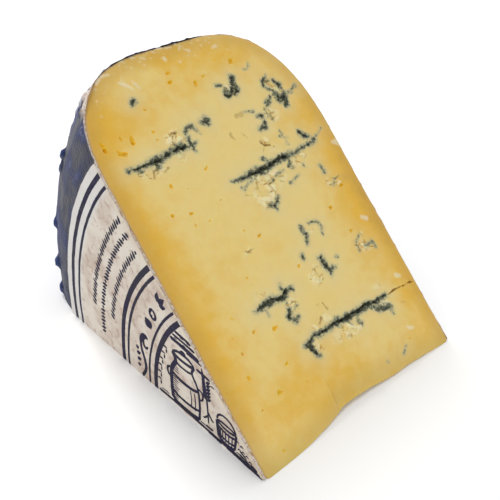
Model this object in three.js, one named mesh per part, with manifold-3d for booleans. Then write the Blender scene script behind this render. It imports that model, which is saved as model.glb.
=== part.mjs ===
// A wedge of blue-veined pressed cheese: one eighth of a wheel, lying on one of its two cut faces.
//
// It is three separate pieces. The paste is the cheese itself. The rind coating is the plastic film
// that was brushed round the outside of the wheel. The paper label is a printed disc that was stuck
// on one flat side of the wheel, and the cut went through all three.
//
// Units are millimetres and +Z is up. While the pieces are made, the wheel's axis lies along X and
// goes through the wedge's tip, with the label on the -X side and the rim towards +Y. At the end the
// wedge is moved so that its origin is the middle of its bounding box, at the bottom.

import * as THREE from "three";
import { mergeVertices } from "three/addons/utils/BufferGeometryUtils.js";
import Module from "manifold-3d";

// ---- Driving dimensions ----

const WHEEL_RADIUS = 128.8; // from the axis to the rim of the paste
const WHEEL_HEIGHT = 86.4; // from flat side to flat side of the paste
const WEDGE_ANGLE = 45; // degrees, an eighth of a wheel

// Each shoulder is a quarter of a superellipse between a flat side and the rim.
// width is measured along the axis, drop along the radius, and a higher power is a squarer corner.
const LABEL_SHOULDER = { width: 36, drop: 37, power: 2.7 };
const FAR_SHOULDER = { width: 35, drop: 46, power: 2.5 };

const COATING_THICKNESS = 0.5; // several brushed coats of cheese plastic
const LABEL_THICKNESS = 0.25;
const LABEL_RADIUS = 101; // the printed disc is smaller than the wheel
const SKIN_GAP = 0.15; // between the paste, the coating and the label

// The thin tip of the wedge is worn back between the two flat sides.
const NOSE_DEPTH = 4; // how far the tip is worn back at most
const NOSE_LABEL_MARGIN = 10; // the tip is whole this far in from the label side
const NOSE_FAR_MARGIN = 4; // and this far in from the other flat side

const WHEEL_STEPS = 96; // facets round the whole wheel
const SHOULDER_STEPS = 10; // facets across each shoulder
const REACH = 20; // how far a cutter runs past what it cuts

// ---- Sizes that follow from those ----

const coatingInside = SKIN_GAP;
const coatingOutside = coatingInside + COATING_THICKNESS;
const labelInside = coatingOutside + SKIN_GAP;
const labelOutside = labelInside + LABEL_THICKNESS;

// ---- Solids from three.js geometry ----

const wasm = await Module();
wasm.setup();

function solidFrom(geometry) {
  const bare = geometry.clone();
  bare.deleteAttribute("normal");
  bare.deleteAttribute("uv");
  const merged = mergeVertices(bare, 1e-4);
  return new wasm.Manifold(
    new wasm.Mesh({
      numProp: 3,
      vertProperties: merged.attributes.position.array,
      triVerts: new Uint32Array(merged.index.array),
    }),
  );
}

function geometryFrom(solid) {
  const mesh = solid.getMesh();
  const geometry = new THREE.BufferGeometry();
  geometry.setAttribute("position", new THREE.BufferAttribute(mesh.vertProperties, 3));
  geometry.setIndex(new THREE.BufferAttribute(mesh.triVerts, 1));
  geometry.computeVertexNormals();
  return geometry;
}

// ---- The wheel ----

// Points across one shoulder, from its flat side to the rim, as distances: radius from the axis, and
// depth below the flat side. They are pushed outwards by offset, square to the surface.
function shoulderPoints({ width, drop, power }, offset) {
  const points = [];
  for (let step = 0; step <= SHOULDER_STEPS; step++) {
    const turn = (step / SHOULDER_STEPS) * (Math.PI / 2);
    const outwards = Math.sin(turn) ** (2 / power);
    const upwards = Math.cos(turn) ** (2 / power);
    const normal = new THREE.Vector2(
      outwards ** (power - 1) / drop,
      upwards ** (power - 1) / width,
    ).normalize();
    points.push({
      radius: WHEEL_RADIUS - drop + drop * outwards + offset * normal.x,
      depth: width - width * upwards - offset * normal.y,
    });
  }
  return points;
}

// The whole wheel as a solid of revolution about X, grown outwards by offset.
function wheel(offset) {
  const labelSide = shoulderPoints(LABEL_SHOULDER, offset);
  const farSide = shoulderPoints(FAR_SHOULDER, offset).reverse();
  const profile = [
    new THREE.Vector2(0, -offset),
    ...labelSide.map((p) => new THREE.Vector2(p.radius, p.depth)),
    ...farSide.map((p) => new THREE.Vector2(p.radius, WHEEL_HEIGHT - p.depth)),
    new THREE.Vector2(0, WHEEL_HEIGHT + offset),
  ];
  const lathe = new THREE.LatheGeometry(profile, WHEEL_STEPS);
  lathe.rotateZ(-Math.PI / 2); // the lathe turns about Y, and the wheel's axis is X
  return solidFrom(lathe);
}

// ---- Cutters ----

// Everything between the two cutting planes: a triangle in the YZ plane, drawn out along X.
function sector() {
  const far = 2 * WHEEL_RADIUS;
  const angle = THREE.MathUtils.degToRad(WEDGE_ANGLE);
  const outline = new THREE.Shape([
    new THREE.Vector2(0, 0),
    new THREE.Vector2(far, 0),
    new THREE.Vector2(far * Math.cos(angle), far * Math.sin(angle)),
  ]);
  const prism = new THREE.ExtrudeGeometry(outline, {
    depth: WHEEL_HEIGHT + 2 * REACH,
    bevelEnabled: false,
  });
  // Shape x becomes Y, shape y becomes Z, and the depth becomes X.
  prism.applyMatrix4(new THREE.Matrix4().set(0, 0, 1, -REACH, 1, 0, 0, 0, 0, 1, 0, 0, 0, 0, 0, 1));
  return solidFrom(prism);
}

// An upright scoop that takes the worn part off the tip.
function noseScoop() {
  const start = NOSE_LABEL_MARGIN;
  const end = WHEEL_HEIGHT - NOSE_FAR_MARGIN;
  const outline = new THREE.Shape();
  outline.moveTo(start, 0);
  outline.quadraticCurveTo((start + end) / 2, 2 * NOSE_DEPTH, end, 0);
  outline.lineTo(end, -REACH);
  outline.lineTo(start, -REACH);
  const scoop = new THREE.ExtrudeGeometry(outline, {
    depth: 2 * REACH,
    bevelEnabled: false,
    curveSegments: 16,
  });
  scoop.translate(0, 0, -REACH);
  return solidFrom(scoop);
}

// The label's outline: a short cylinder about X that reaches in from the label side.
function labelPunch() {
  const length = LABEL_SHOULDER.width + REACH;
  const punch = new THREE.CylinderGeometry(LABEL_RADIUS, LABEL_RADIUS, length, WHEEL_STEPS);
  punch.rotateZ(-Math.PI / 2);
  punch.translate(LABEL_SHOULDER.width - length / 2, 0, 0);
  return solidFrom(punch);
}

// ---- The three pieces ----

const wedge = sector();

function pasteSolid() {
  return wheel(0).intersect(wedge).subtract(noseScoop());
}

function coatingSolid() {
  return wheel(coatingOutside).subtract(wheel(coatingInside)).intersect(wedge);
}

function labelSolid() {
  return wheel(labelOutside).subtract(wheel(labelInside)).intersect(labelPunch()).intersect(wedge);
}

const PIECES = [
  { name: "cheese_paste", solid: pasteSolid(), color: "#dcb95f", roughness: 0.5 },
  { name: "rind_coating", solid: coatingSolid(), color: "#2c3454", roughness: 0.4 },
  { name: "paper_label", solid: labelSolid(), color: "#d9d0c8", roughness: 0.8 },
];

// ---- Assembly, with the origin at the bottom centre ----

const assembly = new THREE.Group();
for (const { name, solid, color, roughness } of PIECES) {
  const material = new THREE.MeshStandardMaterial({ color, roughness, metalness: 0 });
  const mesh = new THREE.Mesh(geometryFrom(solid), material);
  mesh.name = name;
  assembly.add(mesh);
}
const middleX = (WHEEL_HEIGHT + coatingOutside - labelOutside) / 2;
const middleY = (WHEEL_RADIUS + coatingOutside) / 2;
assembly.position.set(-middleX, -middleY, 0);

const cheeseWedge = new THREE.Group();
cheeseWedge.add(assembly);

export default cheeseWedge;
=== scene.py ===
# %% [markdown]
# # A wedge of blue-veined cheese
#
# This lesson builds one eighth of a pressed cheese wheel, lying on one of its two cut faces. It has
# three real pieces: the yellow paste with its blue mould, the dark coating brushed round the wheel,
# and the printed paper disc on one flat side. A knife went through all three.
#
# The simple solid model comes first, because it fixes the size and the place of every piece. Each
# piece made here lies where its plain solid lies and hides it.

# %% Load the frame
import math

import bmesh
import bpy
import numpy as np
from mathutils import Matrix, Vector, geometry, kdtree


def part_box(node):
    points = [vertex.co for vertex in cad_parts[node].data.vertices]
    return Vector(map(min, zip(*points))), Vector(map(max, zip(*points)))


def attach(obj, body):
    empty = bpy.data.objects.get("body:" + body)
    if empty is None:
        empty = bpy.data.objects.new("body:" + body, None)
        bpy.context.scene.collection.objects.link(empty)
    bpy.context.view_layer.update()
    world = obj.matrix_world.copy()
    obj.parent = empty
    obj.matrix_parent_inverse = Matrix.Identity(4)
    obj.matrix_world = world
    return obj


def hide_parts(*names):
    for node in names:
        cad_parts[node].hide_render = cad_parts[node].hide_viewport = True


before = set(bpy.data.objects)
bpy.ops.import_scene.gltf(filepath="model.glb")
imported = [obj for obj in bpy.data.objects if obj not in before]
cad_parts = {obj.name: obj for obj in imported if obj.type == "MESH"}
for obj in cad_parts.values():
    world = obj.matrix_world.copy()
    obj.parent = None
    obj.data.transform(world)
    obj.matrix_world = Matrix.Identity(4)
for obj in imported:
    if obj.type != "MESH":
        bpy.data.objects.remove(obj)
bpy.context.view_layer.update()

MM = 0.001

# %% [markdown]
# ## Measuring the wheel
#
# A wheel of cheese is round, so it is easiest to describe from its axis. Here x runs along the axis
# from the label's flat side, and the radius runs out from the wedge's tip, both in millimetres.
# The two flat sides fall away towards the rim in soft shoulders, each a quarter of a superellipse.

# %% The wheel's measures
paste_low, paste_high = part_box("cheese_paste")
SIDE_X = paste_low.x / MM
TIP_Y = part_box("rind_coating")[0].y / MM
HEIGHT = paste_high.x / MM - SIDE_X
RADIUS = paste_high.y / MM - TIP_Y
CUT = math.radians(45)
LABEL_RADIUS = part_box("paper_label")[1].y / MM - TIP_Y
LABEL_SHOULDER = (36.0, 37.0, 2.7)  # width along the axis, drop along the radius, power
FAR_SHOULDER = (35.0, 46.0, 2.5)
FIRST_RADIUS = 0.9  # the skins start here, because the tip itself is worn away


def placed(x, y, z):
    """Frame positions in metres of points given from the wheel's axis in millimetres."""
    return np.stack([x + SIDE_X, y + TIP_Y, z + 0 * x], axis=-1) * MM


print(f"wheel {2 * RADIUS:.1f} mm across and {HEIGHT:.1f} mm high, label {2 * LABEL_RADIUS:.1f} mm")

# %% [markdown]
# ## Camera, floor and light
#
# Product pictures of food are taken a little from above, inside a white sweep of paper with large
# soft lamps. A floor plane, a white world and three broad area lights are enough for that. The
# camera looks down 34 degrees at the upper cut face and at the label beside it.


# %% The camera
def aimed(thing, place, target):
    """Puts a lamp or camera at place, looking at target."""
    thing.location = place
    thing.rotation_euler = (Vector(target) - Vector(place)).to_track_quat("-Z", "Y").to_euler()
    bpy.context.scene.collection.objects.link(thing)


AIM = Vector((0.0056, -0.0048, 0.0253))
VIEW_DISTANCE = 0.250
turn, tilt = math.radians(-42.65), math.radians(34.0)
away = Vector((math.sin(turn) * math.cos(tilt), -math.cos(turn) * math.cos(tilt), math.sin(tilt)))
camera_data = bpy.data.cameras.new("camera")
camera_data.lens = 52.0
camera_data.sensor_width = 36.0
camera_data.clip_start = 0.01
camera = bpy.data.objects.new("camera", camera_data)
aimed(camera, AIM + away * VIEW_DISTANCE, AIM)
bpy.context.scene.camera = camera
print("camera at", [round(v / MM) for v in camera.location], "mm")


# %% The lamps
def soft_lamp(name, place, width, power, tint):
    """A square area lamp that faces the wedge."""
    data = bpy.data.lights.new(name, "AREA")
    data.size = width
    data.energy = power
    data.color = tint
    aimed(bpy.data.objects.new(name, data), place, (0, 0, 0.03))


soft_lamp("top_lamp", (-0.3, 0.3, 2.4), 1.5, 11.0, (1.0, 0.99, 0.97))
soft_lamp("window_lamp", (-1.4, -0.9, 1.3), 1.0, 3.5, (1.0, 0.99, 0.98))
# This one stands behind the wedge, just under the plane of the cut face, so the wedge keeps its
# light off the floor before the tip.
soft_lamp("back_lamp", (0.18, 1.40, 1.36), 0.40, 17.5, (1.0, 1.0, 1.0))

world = bpy.data.worlds.new("white_room")
world.use_nodes = True
background = world.node_tree.nodes["Background"].inputs
background["Color"].default_value = (1, 1, 1, 1)
background["Strength"].default_value = 0.60
bpy.context.scene.world = world
bpy.context.scene.view_settings.view_transform = "Standard"

# %% [markdown]
# ## Helpers for shaping
#
# Nothing on a cheese is even, so most shapes here start smooth and are then roughened. Blender has
# noise textures for this, but shaping the points in plain code gives one set of numbers that both
# the relief and the colours can use, so the mould's colour sits exactly in its hollows.


# %% Soft steps and random lumps
def soft_step(low, high, value):
    """0 below low, 1 above high and smooth between."""
    share = np.clip((value - low) / (high - low), 0, 1)
    return share * share * (3 - 2 * share)


# Large primes, which stir a cell's numbers together until they look random
CELL_PRIMES = np.array([73856093, 19349663, 83492791])
SEED_PRIME = 917611
STIR_PRIME = 1274126177


def chance(cell, seed):
    """A fixed random number from -1 to 1 for each whole-number cell."""
    key = cell @ CELL_PRIMES + seed * SEED_PRIME
    key = (key ^ (key >> 13)) * STIR_PRIME
    return ((key ^ (key >> 16)) & 0xFFFF) / 32767.5 - 1


def lumps(points, size, seed):
    """Smooth random heights from -1 to 1 at each point, about size apart."""
    place = points / size
    cell = np.floor(place).astype(np.int64)
    part = place - cell
    part = part * part * (3 - 2 * part)
    total = np.zeros(len(points))
    for corner in np.ndindex(2, 2, 2):
        total += chance(cell + corner, seed) * np.prod(np.where(corner, part, 1 - part), axis=-1)
    return total


def rough(points, size, seed):
    """Lumps with two finer layers on top."""
    coarse = lumps(points, size, seed)
    middle = lumps(points, size / 2.1, seed + 1)
    fine = lumps(points, size / 4.3, seed + 2)
    return (coarse + 0.5 * middle + 0.25 * fine) / 1.75


def flat(across, out):
    """Points of a flat sheet, for the functions around this one."""
    return np.stack([across, out, np.zeros_like(across)], axis=-1)


def crumbs(points, size, seed):
    """How far each point is from the joint between two crumbs, and a random height of its crumb."""
    place = points / size
    cell = np.floor(place).astype(np.int64)
    first = np.full(len(points), np.inf)
    second = np.full(len(points), np.inf)
    height = np.zeros(len(points))
    for step in np.ndindex(3, 3):
        corner = cell + (step[0] - 1, step[1] - 1, 0)
        shift = np.stack([chance(corner, seed), chance(corner, seed + 1)], axis=-1) * 0.45 + 0.5
        gap = np.linalg.norm(place[:, :2] - corner[:, :2] - shift, axis=1)
        second = np.where(gap < first, first, np.minimum(second, gap))
        height = np.where(gap < first, chance(corner, seed + 2), height)
        first = np.minimum(first, gap)
    return (second - first) * size, height


# %% [markdown]
# ## Meshes that can be shared
#
# Each piece ends as one closed mesh. The helper below takes points and faces, keeps any number per
# point as an attribute for the materials to read, turns the faces outwards, and marks only sharp
# corners as sharp, so the rest is shaded smoothly.


# %% From points to an object
SHARP_ANGLE = math.radians(55)
WELD = 0.02 * MM  # points of a thin skin closer than this become one


def build(name, points, faces, slot, replaced=None, weld=None, **fields):
    """One closed mesh piece that rides with the wedge."""
    mesh = bpy.data.meshes.new(name)
    mesh.from_pydata(points.tolist(), [], faces)
    for field, values in fields.items():
        layer = mesh.attributes.new(field, "FLOAT", "POINT")
        layer.data.foreach_set("value", np.asarray(values, dtype=np.float32))
    shape = bmesh.new()
    shape.from_mesh(mesh)
    if weld:
        bmesh.ops.remove_doubles(shape, verts=shape.verts, dist=weld)
    bmesh.ops.recalc_face_normals(shape, faces=shape.faces)
    shape.to_mesh(mesh)
    shape.free()
    mesh.shade_smooth()
    mesh.set_sharp_from_angle(angle=SHARP_ANGLE)
    piece = bpy.data.objects.new(name, mesh)
    bpy.context.scene.collection.objects.link(piece)
    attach(piece, "root")
    if replaced:
        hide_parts(replaced)
    print(name, len(mesh.vertices), "points", len(mesh.polygons), "faces")
    return piece


# %% [markdown]
# ## The outline of the cut
#
# The knife shows the wheel's section: up one flat side, over a shoulder, along the rim, and down the
# other side. The tip is worn back a few millimetres. The outline is drawn as one closed loop of
# evenly spaced points, and both cut faces share it.


# %% The section of the wheel
def fall(radius, shoulder):
    """How far a flat side has fallen away at a radius."""
    width, drop, power = shoulder
    share = np.clip((radius - (RADIUS - drop)) / drop, 0, 1)
    return width * (1 - (1 - share**power) ** (1 / power))


def even(path, spacing):
    """The same path with its points spacing apart."""
    steps = np.linalg.norm(np.diff(path, axis=0), axis=1)
    length = np.concatenate([[0], np.cumsum(steps)])
    marks = np.linspace(0, length[-1], max(2, round(length[-1] / spacing) + 1))
    return np.stack([np.interp(marks, length, path[:, k]) for k in range(path.shape[1])], axis=-1)


def section(first_radius):
    """The outside of the wheel as x and radius, from the label side over the rim to the far side."""
    bend = np.linspace(0, math.pi / 2, 400)
    sides = []
    for width, drop, power in (LABEL_SHOULDER, FAR_SHOULDER):
        radius = RADIUS - drop + drop * np.sin(bend) ** (2 / power)
        depth = width - width * np.cos(bend) ** (2 / power)
        sides.append((np.append(first_radius, radius), np.append(0, depth)))
    (near_radius, near_depth), (far_radius, far_depth) = sides
    near = np.stack([near_depth, near_radius], axis=-1)
    far = np.stack([HEIGHT - far_depth, far_radius], axis=-1)[::-1]
    return np.concatenate([near, far])


# How far the tip is worn back, as places along its edge and depths. It is deepest left of the middle.
NOSE_X = (0, 8, 15, 22, 27, 32, 36, 41, 47, 53, 60, 67, 74, 80, HEIGHT)
NOSE_DEPTH = (0.1, 0.1, 0.4, 1.1, 1.9, 2.8, 3.4, 3.5, 3.1, 2.4, 2.0, 1.8, 1.2, 0.7, 0.1)


def nose_setback(across):
    """How far the tip is worn back at each place along its edge."""
    worn = np.interp(across, NOSE_X, NOSE_DEPTH)
    return np.clip(worn + 0.12 * lumps(flat(across, 0 * across), 3.0, 5), 0.05, None)


OUTLINE_SPACING = 0.62
UPPER_WEAR = 1.6
wheel_side = even(section(FIRST_RADIUS), OUTLINE_SPACING)
nose_x = np.linspace(HEIGHT, 0, round(HEIGHT / OUTLINE_SPACING) + 1)[1:-1]
loop_x = np.concatenate([wheel_side[:, 0], nose_x])
is_nose = np.arange(len(loop_x)) >= len(wheel_side)
# The upper face is worn back further than the lower one, and the tip bends over from there.
upper_out = np.concatenate([wheel_side[:, 1], UPPER_WEAR * nose_setback(nose_x)])
lower_out = np.concatenate([wheel_side[:, 1], nose_setback(nose_x)])
print("outline", len(loop_x), "points", int(is_nose.sum()), "of them along the tip")

# %% [markdown]
# ## Where the mould grows
#
# Blue mould needs air. The maker pierces the young wheel with needles and leaves small gaps between
# the curds, and the mould fills those seams and hollows. Each opening is listed as a path of
# (x, radius, half width) in millimetres, followed by its depth and how strongly the mould has grown.

# %% Seams and hollows
OPENINGS = [
    # The upper seam, the star at its end and the loop above it
    ([(7.6, 95.2, 0.3), (11.0, 95.3, 0.7), (16.0, 95.4, 0.9), (20.0, 95.7, 0.8)], 2.4, 1.0),
    ([(20.0, 95.7, 0.8), (24.0, 96.2, 0.8), (27.6, 96.4, 1.0), (29.6, 95.9, 0.6)], 2.6, 1.0),
    ([(17.2, 95.0, 0.7), (17.9, 93.5, 0.5)], 1.2, 0.9),
    ([(10.8, 94.8, 0.4), (11.8, 93.7, 0.4)], 0.7, 0.5),
    ([(31.9, 98.6, 0.5), (31.4, 96.6, 0.9), (31.8, 94.4, 0.5)], 1.8, 1.0),
    ([(30.0, 95.6, 0.5), (33.2, 96.2, 0.5)], 1.2, 0.9),
    ([(31.8, 100.3, 0.6), (33.2, 101.4, 0.7), (35.0, 101.7, 0.8), (36.1, 100.4, 0.5)], 1.0, 0.85),
    ([(36.1, 100.4, 0.4), (36.8, 98.2, 0.3)], 0.5, 0.5),
    ([(39.0, 101.6, 0.6), (40.8, 101.8, 1.4), (40.8, 100.6, 0.9)], 1.4, 1.0),
    ([(19.8, 114.2, 0.5), (20.7, 114.9, 0.6)], 1.2, 1.0),
    # The middle seam and its spurs
    ([(38.6, 80.6, 0.2), (43.0, 80.3, 0.7), (47.0, 80.6, 1.1), (51.0, 80.5, 1.1)], 2.6, 1.0),
    ([(51.0, 80.5, 1.1), (55.0, 81.0, 1.0), (59.0, 81.2, 1.1), (63.0, 81.4, 0.9)], 2.8, 1.0),
    ([(63.0, 81.4, 0.9), (67.0, 81.4, 0.6), (71.0, 81.8, 0.5), (76.0, 82.2, 0.6)], 1.6, 0.95),
    ([(46.2, 80.2, 0.7), (45.8, 79.2, 0.4)], 1.0, 0.9),
    ([(51.0, 80.2, 0.7), (51.4, 79.2, 0.5)], 1.0, 0.9),
    ([(53.2, 83.6, 0.6), (54.6, 82.4, 0.5)], 0.9, 0.8),
    ([(72.8, 87.0, 0.6), (73.8, 85.3, 0.9), (75.0, 84.2, 0.5)], 1.2, 1.0),
    ([(76.6, 83.2, 0.8), (77.4, 82.8, 0.7)], 1.0, 0.9),
    ([(77.4, 83.0, 0.5), (80.0, 84.0, 0.35), (82.4, 85.8, 0.35)], 0.6, 0.5),
    ([(64.8, 88.0, 0.6), (66.6, 87.0, 0.5)], 0.4, 0.45),
    ([(65.6, 90.0, 0.4), (65.8, 84.4, 0.5)], 0.3, 0.4),
    ([(40.8, 77.1, 0.6), (43.4, 78.2, 0.4), (46.4, 78.6, 0.3)], 0.8, 0.6),
    ([(53.0, 75.5, 0.35), (55.2, 77.1, 0.4), (58.6, 77.7, 0.4)], 0.7, 0.45),
    ([(63.0, 79.4, 0.5), (62.0, 78.2, 0.8), (63.0, 77.2, 0.6)], 0.8, 0.7),
    ([(67.3, 76.1, 0.6)], 0.5, 0.7),
    ([(58.6, 72.4, 0.5), (61.0, 73.4, 0.4), (63.8, 74.1, 0.4)], 0.5, 0.5),
    ([(73.8, 73.4, 0.7), (74.0, 71.6, 0.7)], 0.7, 0.7),
    ([(74.6, 66.0, 0.5), (76.6, 67.4, 0.5), (78.4, 68.0, 0.3)], 0.7, 0.35),
    ([(46.6, 68.7, 0.5), (48.6, 68.2, 1.0), (51.4, 70.2, 0.4)], 1.6, 0.8),
    ([(48.6, 68.0, 0.6), (48.8, 67.0, 0.4)], 0.8, 0.8),
    # The star near the rim and the broken ring beside it
    ([(50.8, 111.3, 0.5), (52.2, 111.0, 0.6)], 0.6, 0.8),
    ([(53.0, 108.8, 0.6), (53.2, 106.9, 0.9), (54.8, 107.4, 0.9)], 1.4, 0.95),
    ([(54.8, 107.4, 0.7), (55.4, 109.2, 0.6), (57.2, 108.6, 1.0)], 1.4, 0.9),
    ([(56.4, 107.2, 0.9), (58.0, 108.4, 0.9)], 1.6, 0.95),
    ([(57.4, 109.8, 0.7), (58.6, 112.4, 0.9)], 1.8, 1.0),
    ([(68.8, 106.6, 0.7), (69.2, 108.2, 0.7), (71.0, 108.8, 0.5)], 1.2, 0.85),
    ([(70.6, 107.8, 1.1), (71.8, 107.4, 0.8)], 2.2, 0.35),
    ([(73.6, 107.0, 0.4), (74.6, 105.4, 1.0), (75.0, 103.6, 0.7)], 1.4, 0.95),
    ([(69.8, 105.2, 0.6), (71.2, 102.6, 0.7), (73.0, 100.4, 0.9)], 1.2, 0.8),
    ([(75.4, 102.8, 0.4), (75.6, 101.2, 1.0), (74.2, 99.8, 1.1)], 1.8, 1.0),
    ([(71.4, 99.8, 0.6), (73.8, 99.4, 0.8), (73.8, 97.2, 0.7)], 1.2, 0.95),
    ([(76.4, 101.0, 0.8), (78.6, 101.2, 0.5), (80.4, 102.5, 0.4), (81.8, 102.7, 0.3)], 0.8, 0.6),
    ([(66.4, 99.9, 0.9), (68.6, 101.4, 0.8)], 0.9, 0.75),
    ([(64.6, 98.6, 0.5), (64.2, 95.6, 0.5)], 0.3, 0.4),
    ([(66.2, 97.8, 0.4), (65.2, 94.6, 0.5)], 0.3, 0.42),
    ([(60.6, 97.2, 0.6), (61.6, 96.6, 0.9)], 1.2, 1.0),
    ([(61.8, 94.6, 0.4), (60.9, 93.2, 0.7), (58.2, 92.9, 0.6)], 1.2, 0.95),
    ([(56.6, 100.0, 0.4), (59.4, 99.7, 0.7)], 0.5, 0.5),
    ([(64.6, 113.5, 0.3), (66.4, 113.9, 0.4), (67.5, 115.4, 0.3)], 0.5, 0.45),
    # The small hollows half way down
    ([(53.8, 58.6, 0.4), (53.2, 56.8, 0.8), (54.0, 55.2, 0.8), (52.6, 52.4, 0.4)], 1.0, 0.75),
    ([(57.2, 58.4, 0.6), (60.2, 57.4, 0.5), (61.1, 55.2, 0.35), (60.2, 53.4, 0.3)], 0.7, 0.65),
    ([(48.7, 50.2, 0.6), (48.4, 49.4, 0.9)], 0.9, 0.75),
    ([(54.8, 46.6, 0.8), (54.9, 43.8, 0.9), (55.3, 41.0, 0.8)], 1.9, 0.95),
    ([(55.3, 41.4, 0.6), (57.8, 41.9, 0.6)], 0.9, 0.85),
    ([(60.8, 44.4, 0.5)], 0.4, 0.55),
    ([(70.6, 42.4, 0.6), (71.6, 45.4, 0.5), (74.0, 47.2, 0.4)], 0.4, 0.45),
    ([(74.0, 43.0, 0.4), (77.4, 42.8, 0.7), (77.6, 40.6, 0.6)], 0.5, 0.5),
    # The short lower seam, the spot under it and the longest seam
    ([(22.8, 42.0, 0.3), (25.0, 42.2, 0.8), (28.0, 42.7, 1.0), (31.0, 42.5, 0.9)], 2.0, 1.0),
    ([(31.0, 42.5, 0.9), (34.0, 41.6, 1.1), (36.4, 42.8, 0.9), (38.8, 42.6, 0.6)], 2.0, 1.0),
    ([(35.4, 45.8, 0.5), (35.0, 43.6, 0.7)], 1.0, 0.8),
    ([(34.2, 41.4, 0.7), (34.3, 40.0, 0.4)], 0.8, 0.8),
    ([(26.4, 41.0, 0.5), (26.4, 39.0, 0.4)], 0.5, 0.5),
    ([(34.0, 37.6, 0.5), (32.9, 35.6, 0.9), (34.0, 33.9, 0.8), (35.8, 34.1, 0.6)], 1.3, 0.8),
    ([(36.2, 36.8, 0.6), (38.0, 37.3, 0.4)], 0.8, 0.4),
    ([(33.0, 25.7, 0.6), (35.4, 25.9, 0.8), (38.0, 26.5, 0.8), (42.0, 26.2, 0.7)], 2.0, 0.95),
    ([(42.0, 26.2, 0.7), (47.0, 26.4, 1.0), (51.0, 26.0, 1.1), (55.0, 25.9, 0.9)], 2.8, 1.0),
    ([(55.0, 25.9, 0.9), (59.0, 25.6, 1.0), (62.8, 25.8, 0.9), (66.0, 25.2, 0.7)], 2.8, 1.0),
    ([(66.0, 25.2, 0.7), (70.8, 24.9, 0.7)], 1.6, 0.95),
    ([(33.9, 25.3, 1.2), (35.0, 23.3, 0.9), (35.6, 20.6, 0.6)], 1.4, 0.95),
    ([(55.6, 24.4, 0.4), (56.2, 21.4, 0.8)], 0.9, 0.6),
    ([(64.2, 24.2, 0.8), (66.2, 22.4, 1.1), (68.6, 21.7, 1.1), (70.6, 21.0, 0.7)], 1.0, 0.75),
    ([(70.4, 20.6, 0.5), (70.3, 18.4, 0.4)], 0.5, 0.5),
    ([(52.0, 24.8, 0.4), (52.6, 22.8, 0.5)], 0.5, 0.45),
    ([(58.4, 6.4, 0.6)], 0.3, 0.4),
    ([(65.8, 5.8, 0.5), (68.4, 7.4, 0.4)], 0.3, 0.4),
]
print(len(OPENINGS), "stretches of mould")

# %% Cracks that the mould hasn't reached
CRACKS = [  # a path and its depth
    ([(72.0, 24.8, 0.25), (75.4, 25.0, 0.4), (77.4, 24.7, 0.15)], 1.2),
    ([(77.4, 24.7, 0.15), (80.0, 24.5, 0.35), (82.0, 24.6, 0.1)], 1.2),
    ([(82.0, 24.6, 0.1), (84.0, 24.2, 0.35), (86.2, 24.0, 0.2)], 1.2),
    ([(14.2, 91.0, 0.4), (15.4, 92.8, 0.45), (17.2, 93.2, 0.4)], 0.6),
    ([(18.6, 91.5, 0.4), (20.6, 92.3, 0.5)], 0.6),
    ([(10.2, 93.6, 0.3), (12.6, 93.6, 0.4)], 0.5),
    ([(26.0, 98.6, 0.5), (26.6, 97.2, 0.5)], 0.7),
    ([(27.0, 101.6, 0.6), (28.6, 101.2, 0.5)], 0.7),
    ([(46.9, 95.2, 0.35), (46.7, 94.0, 0.4), (47.3, 92.6, 0.3)], 0.4),
    ([(50.8, 94.0, 0.3), (51.8, 91.8, 0.35)], 0.35),
    ([(52.4, 99.6, 0.8), (54.6, 99.8, 0.9)], 0.35),
    ([(56.2, 89.0, 0.4), (56.8, 87.6, 0.7), (58.8, 87.0, 0.4)], 0.8),
    ([(55.2, 85.4, 0.3), (56.4, 86.8, 0.3)], 0.4),
    ([(46.8, 78.0, 0.4), (46.4, 75.8, 0.35)], 0.5),
    ([(49.6, 75.2, 0.4), (52.4, 74.6, 0.4)], 0.4),
    ([(27.8, 45.8, 0.4), (28.6, 44.6, 0.4)], 0.4),
    ([(36.2, 39.6, 0.4), (37.4, 38.4, 0.4)], 0.5),
    ([(49.8, 43.6, 0.3), (50.6, 41.4, 0.35), (49.2, 40.0, 0.3)], 0.4),
    ([(41.2, 28.8, 0.5), (43.4, 30.2, 0.5)], 0.6),
    ([(46.4, 33.6, 0.3), (46.9, 31.6, 0.5)], 0.5),
    ([(43.8, 34.4, 0.4), (44.8, 34.2, 0.3)], 0.3),
    ([(48.4, 20.9, 0.3), (50.6, 20.4, 0.35)], 0.35),
    ([(30.4, 59.4, 0.5), (31.8, 58.6, 0.5)], 0.35),
    ([(76.0, 20.0, 0.4), (77.2, 19.2, 0.35)], 0.3),
]

# %% [markdown]
# ## Torn crumb, smears and eyes
#
# A blunt blade tears the soft paste beside a seam, and leaves pale crumbs. The higher crumbs are
# painted lighter as painted light, and their joints a deeper yellow as painted shade.
# Near the rim it also drags dry white smears over the cut. Away from the seams gas has left small
# eyes. Their walls are painted deep gold as painted light, as if it passed through more cheese
# there, and one wall is painted deeper as painted shade.

# %% Torn places and smears
TORN = [  # x, radius, half width and half height
    (15.5, 92.9, 6.0, 2.4),
    (27.4, 99.6, 3.4, 3.6),
    (27.0, 93.6, 2.6, 1.8),
    (58.0, 87.2, 3.2, 2.8),
    (50.0, 75.6, 10.0, 4.2),
    (66.0, 78.4, 5.0, 2.4),
    (47.5, 70.8, 4.8, 3.6),
    (75.0, 67.2, 4.5, 2.4),
    (41.0, 29.0, 6.0, 2.6),
    (50.5, 22.4, 8.0, 2.6),
    (50.2, 42.0, 3.6, 3.2),
    (35.8, 38.0, 3.2, 3.0),
    (55.4, 56.8, 4.0, 3.0),
    (74.5, 44.3, 4.6, 3.6),
    (36.8, 22.6, 2.4, 3.0),
    (67.8, 22.2, 4.0, 2.8),
    (72.6, 104.0, 3.6, 4.2),
    (55.6, 108.4, 4.2, 3.0),
    (27.4, 45.2, 3.4, 1.6),
    (66.0, 97.0, 3.6, 3.4),
    (31.0, 59.0, 1.8, 1.4),
    (70.0, 29.0, 2.4, 1.4),
]
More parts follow.
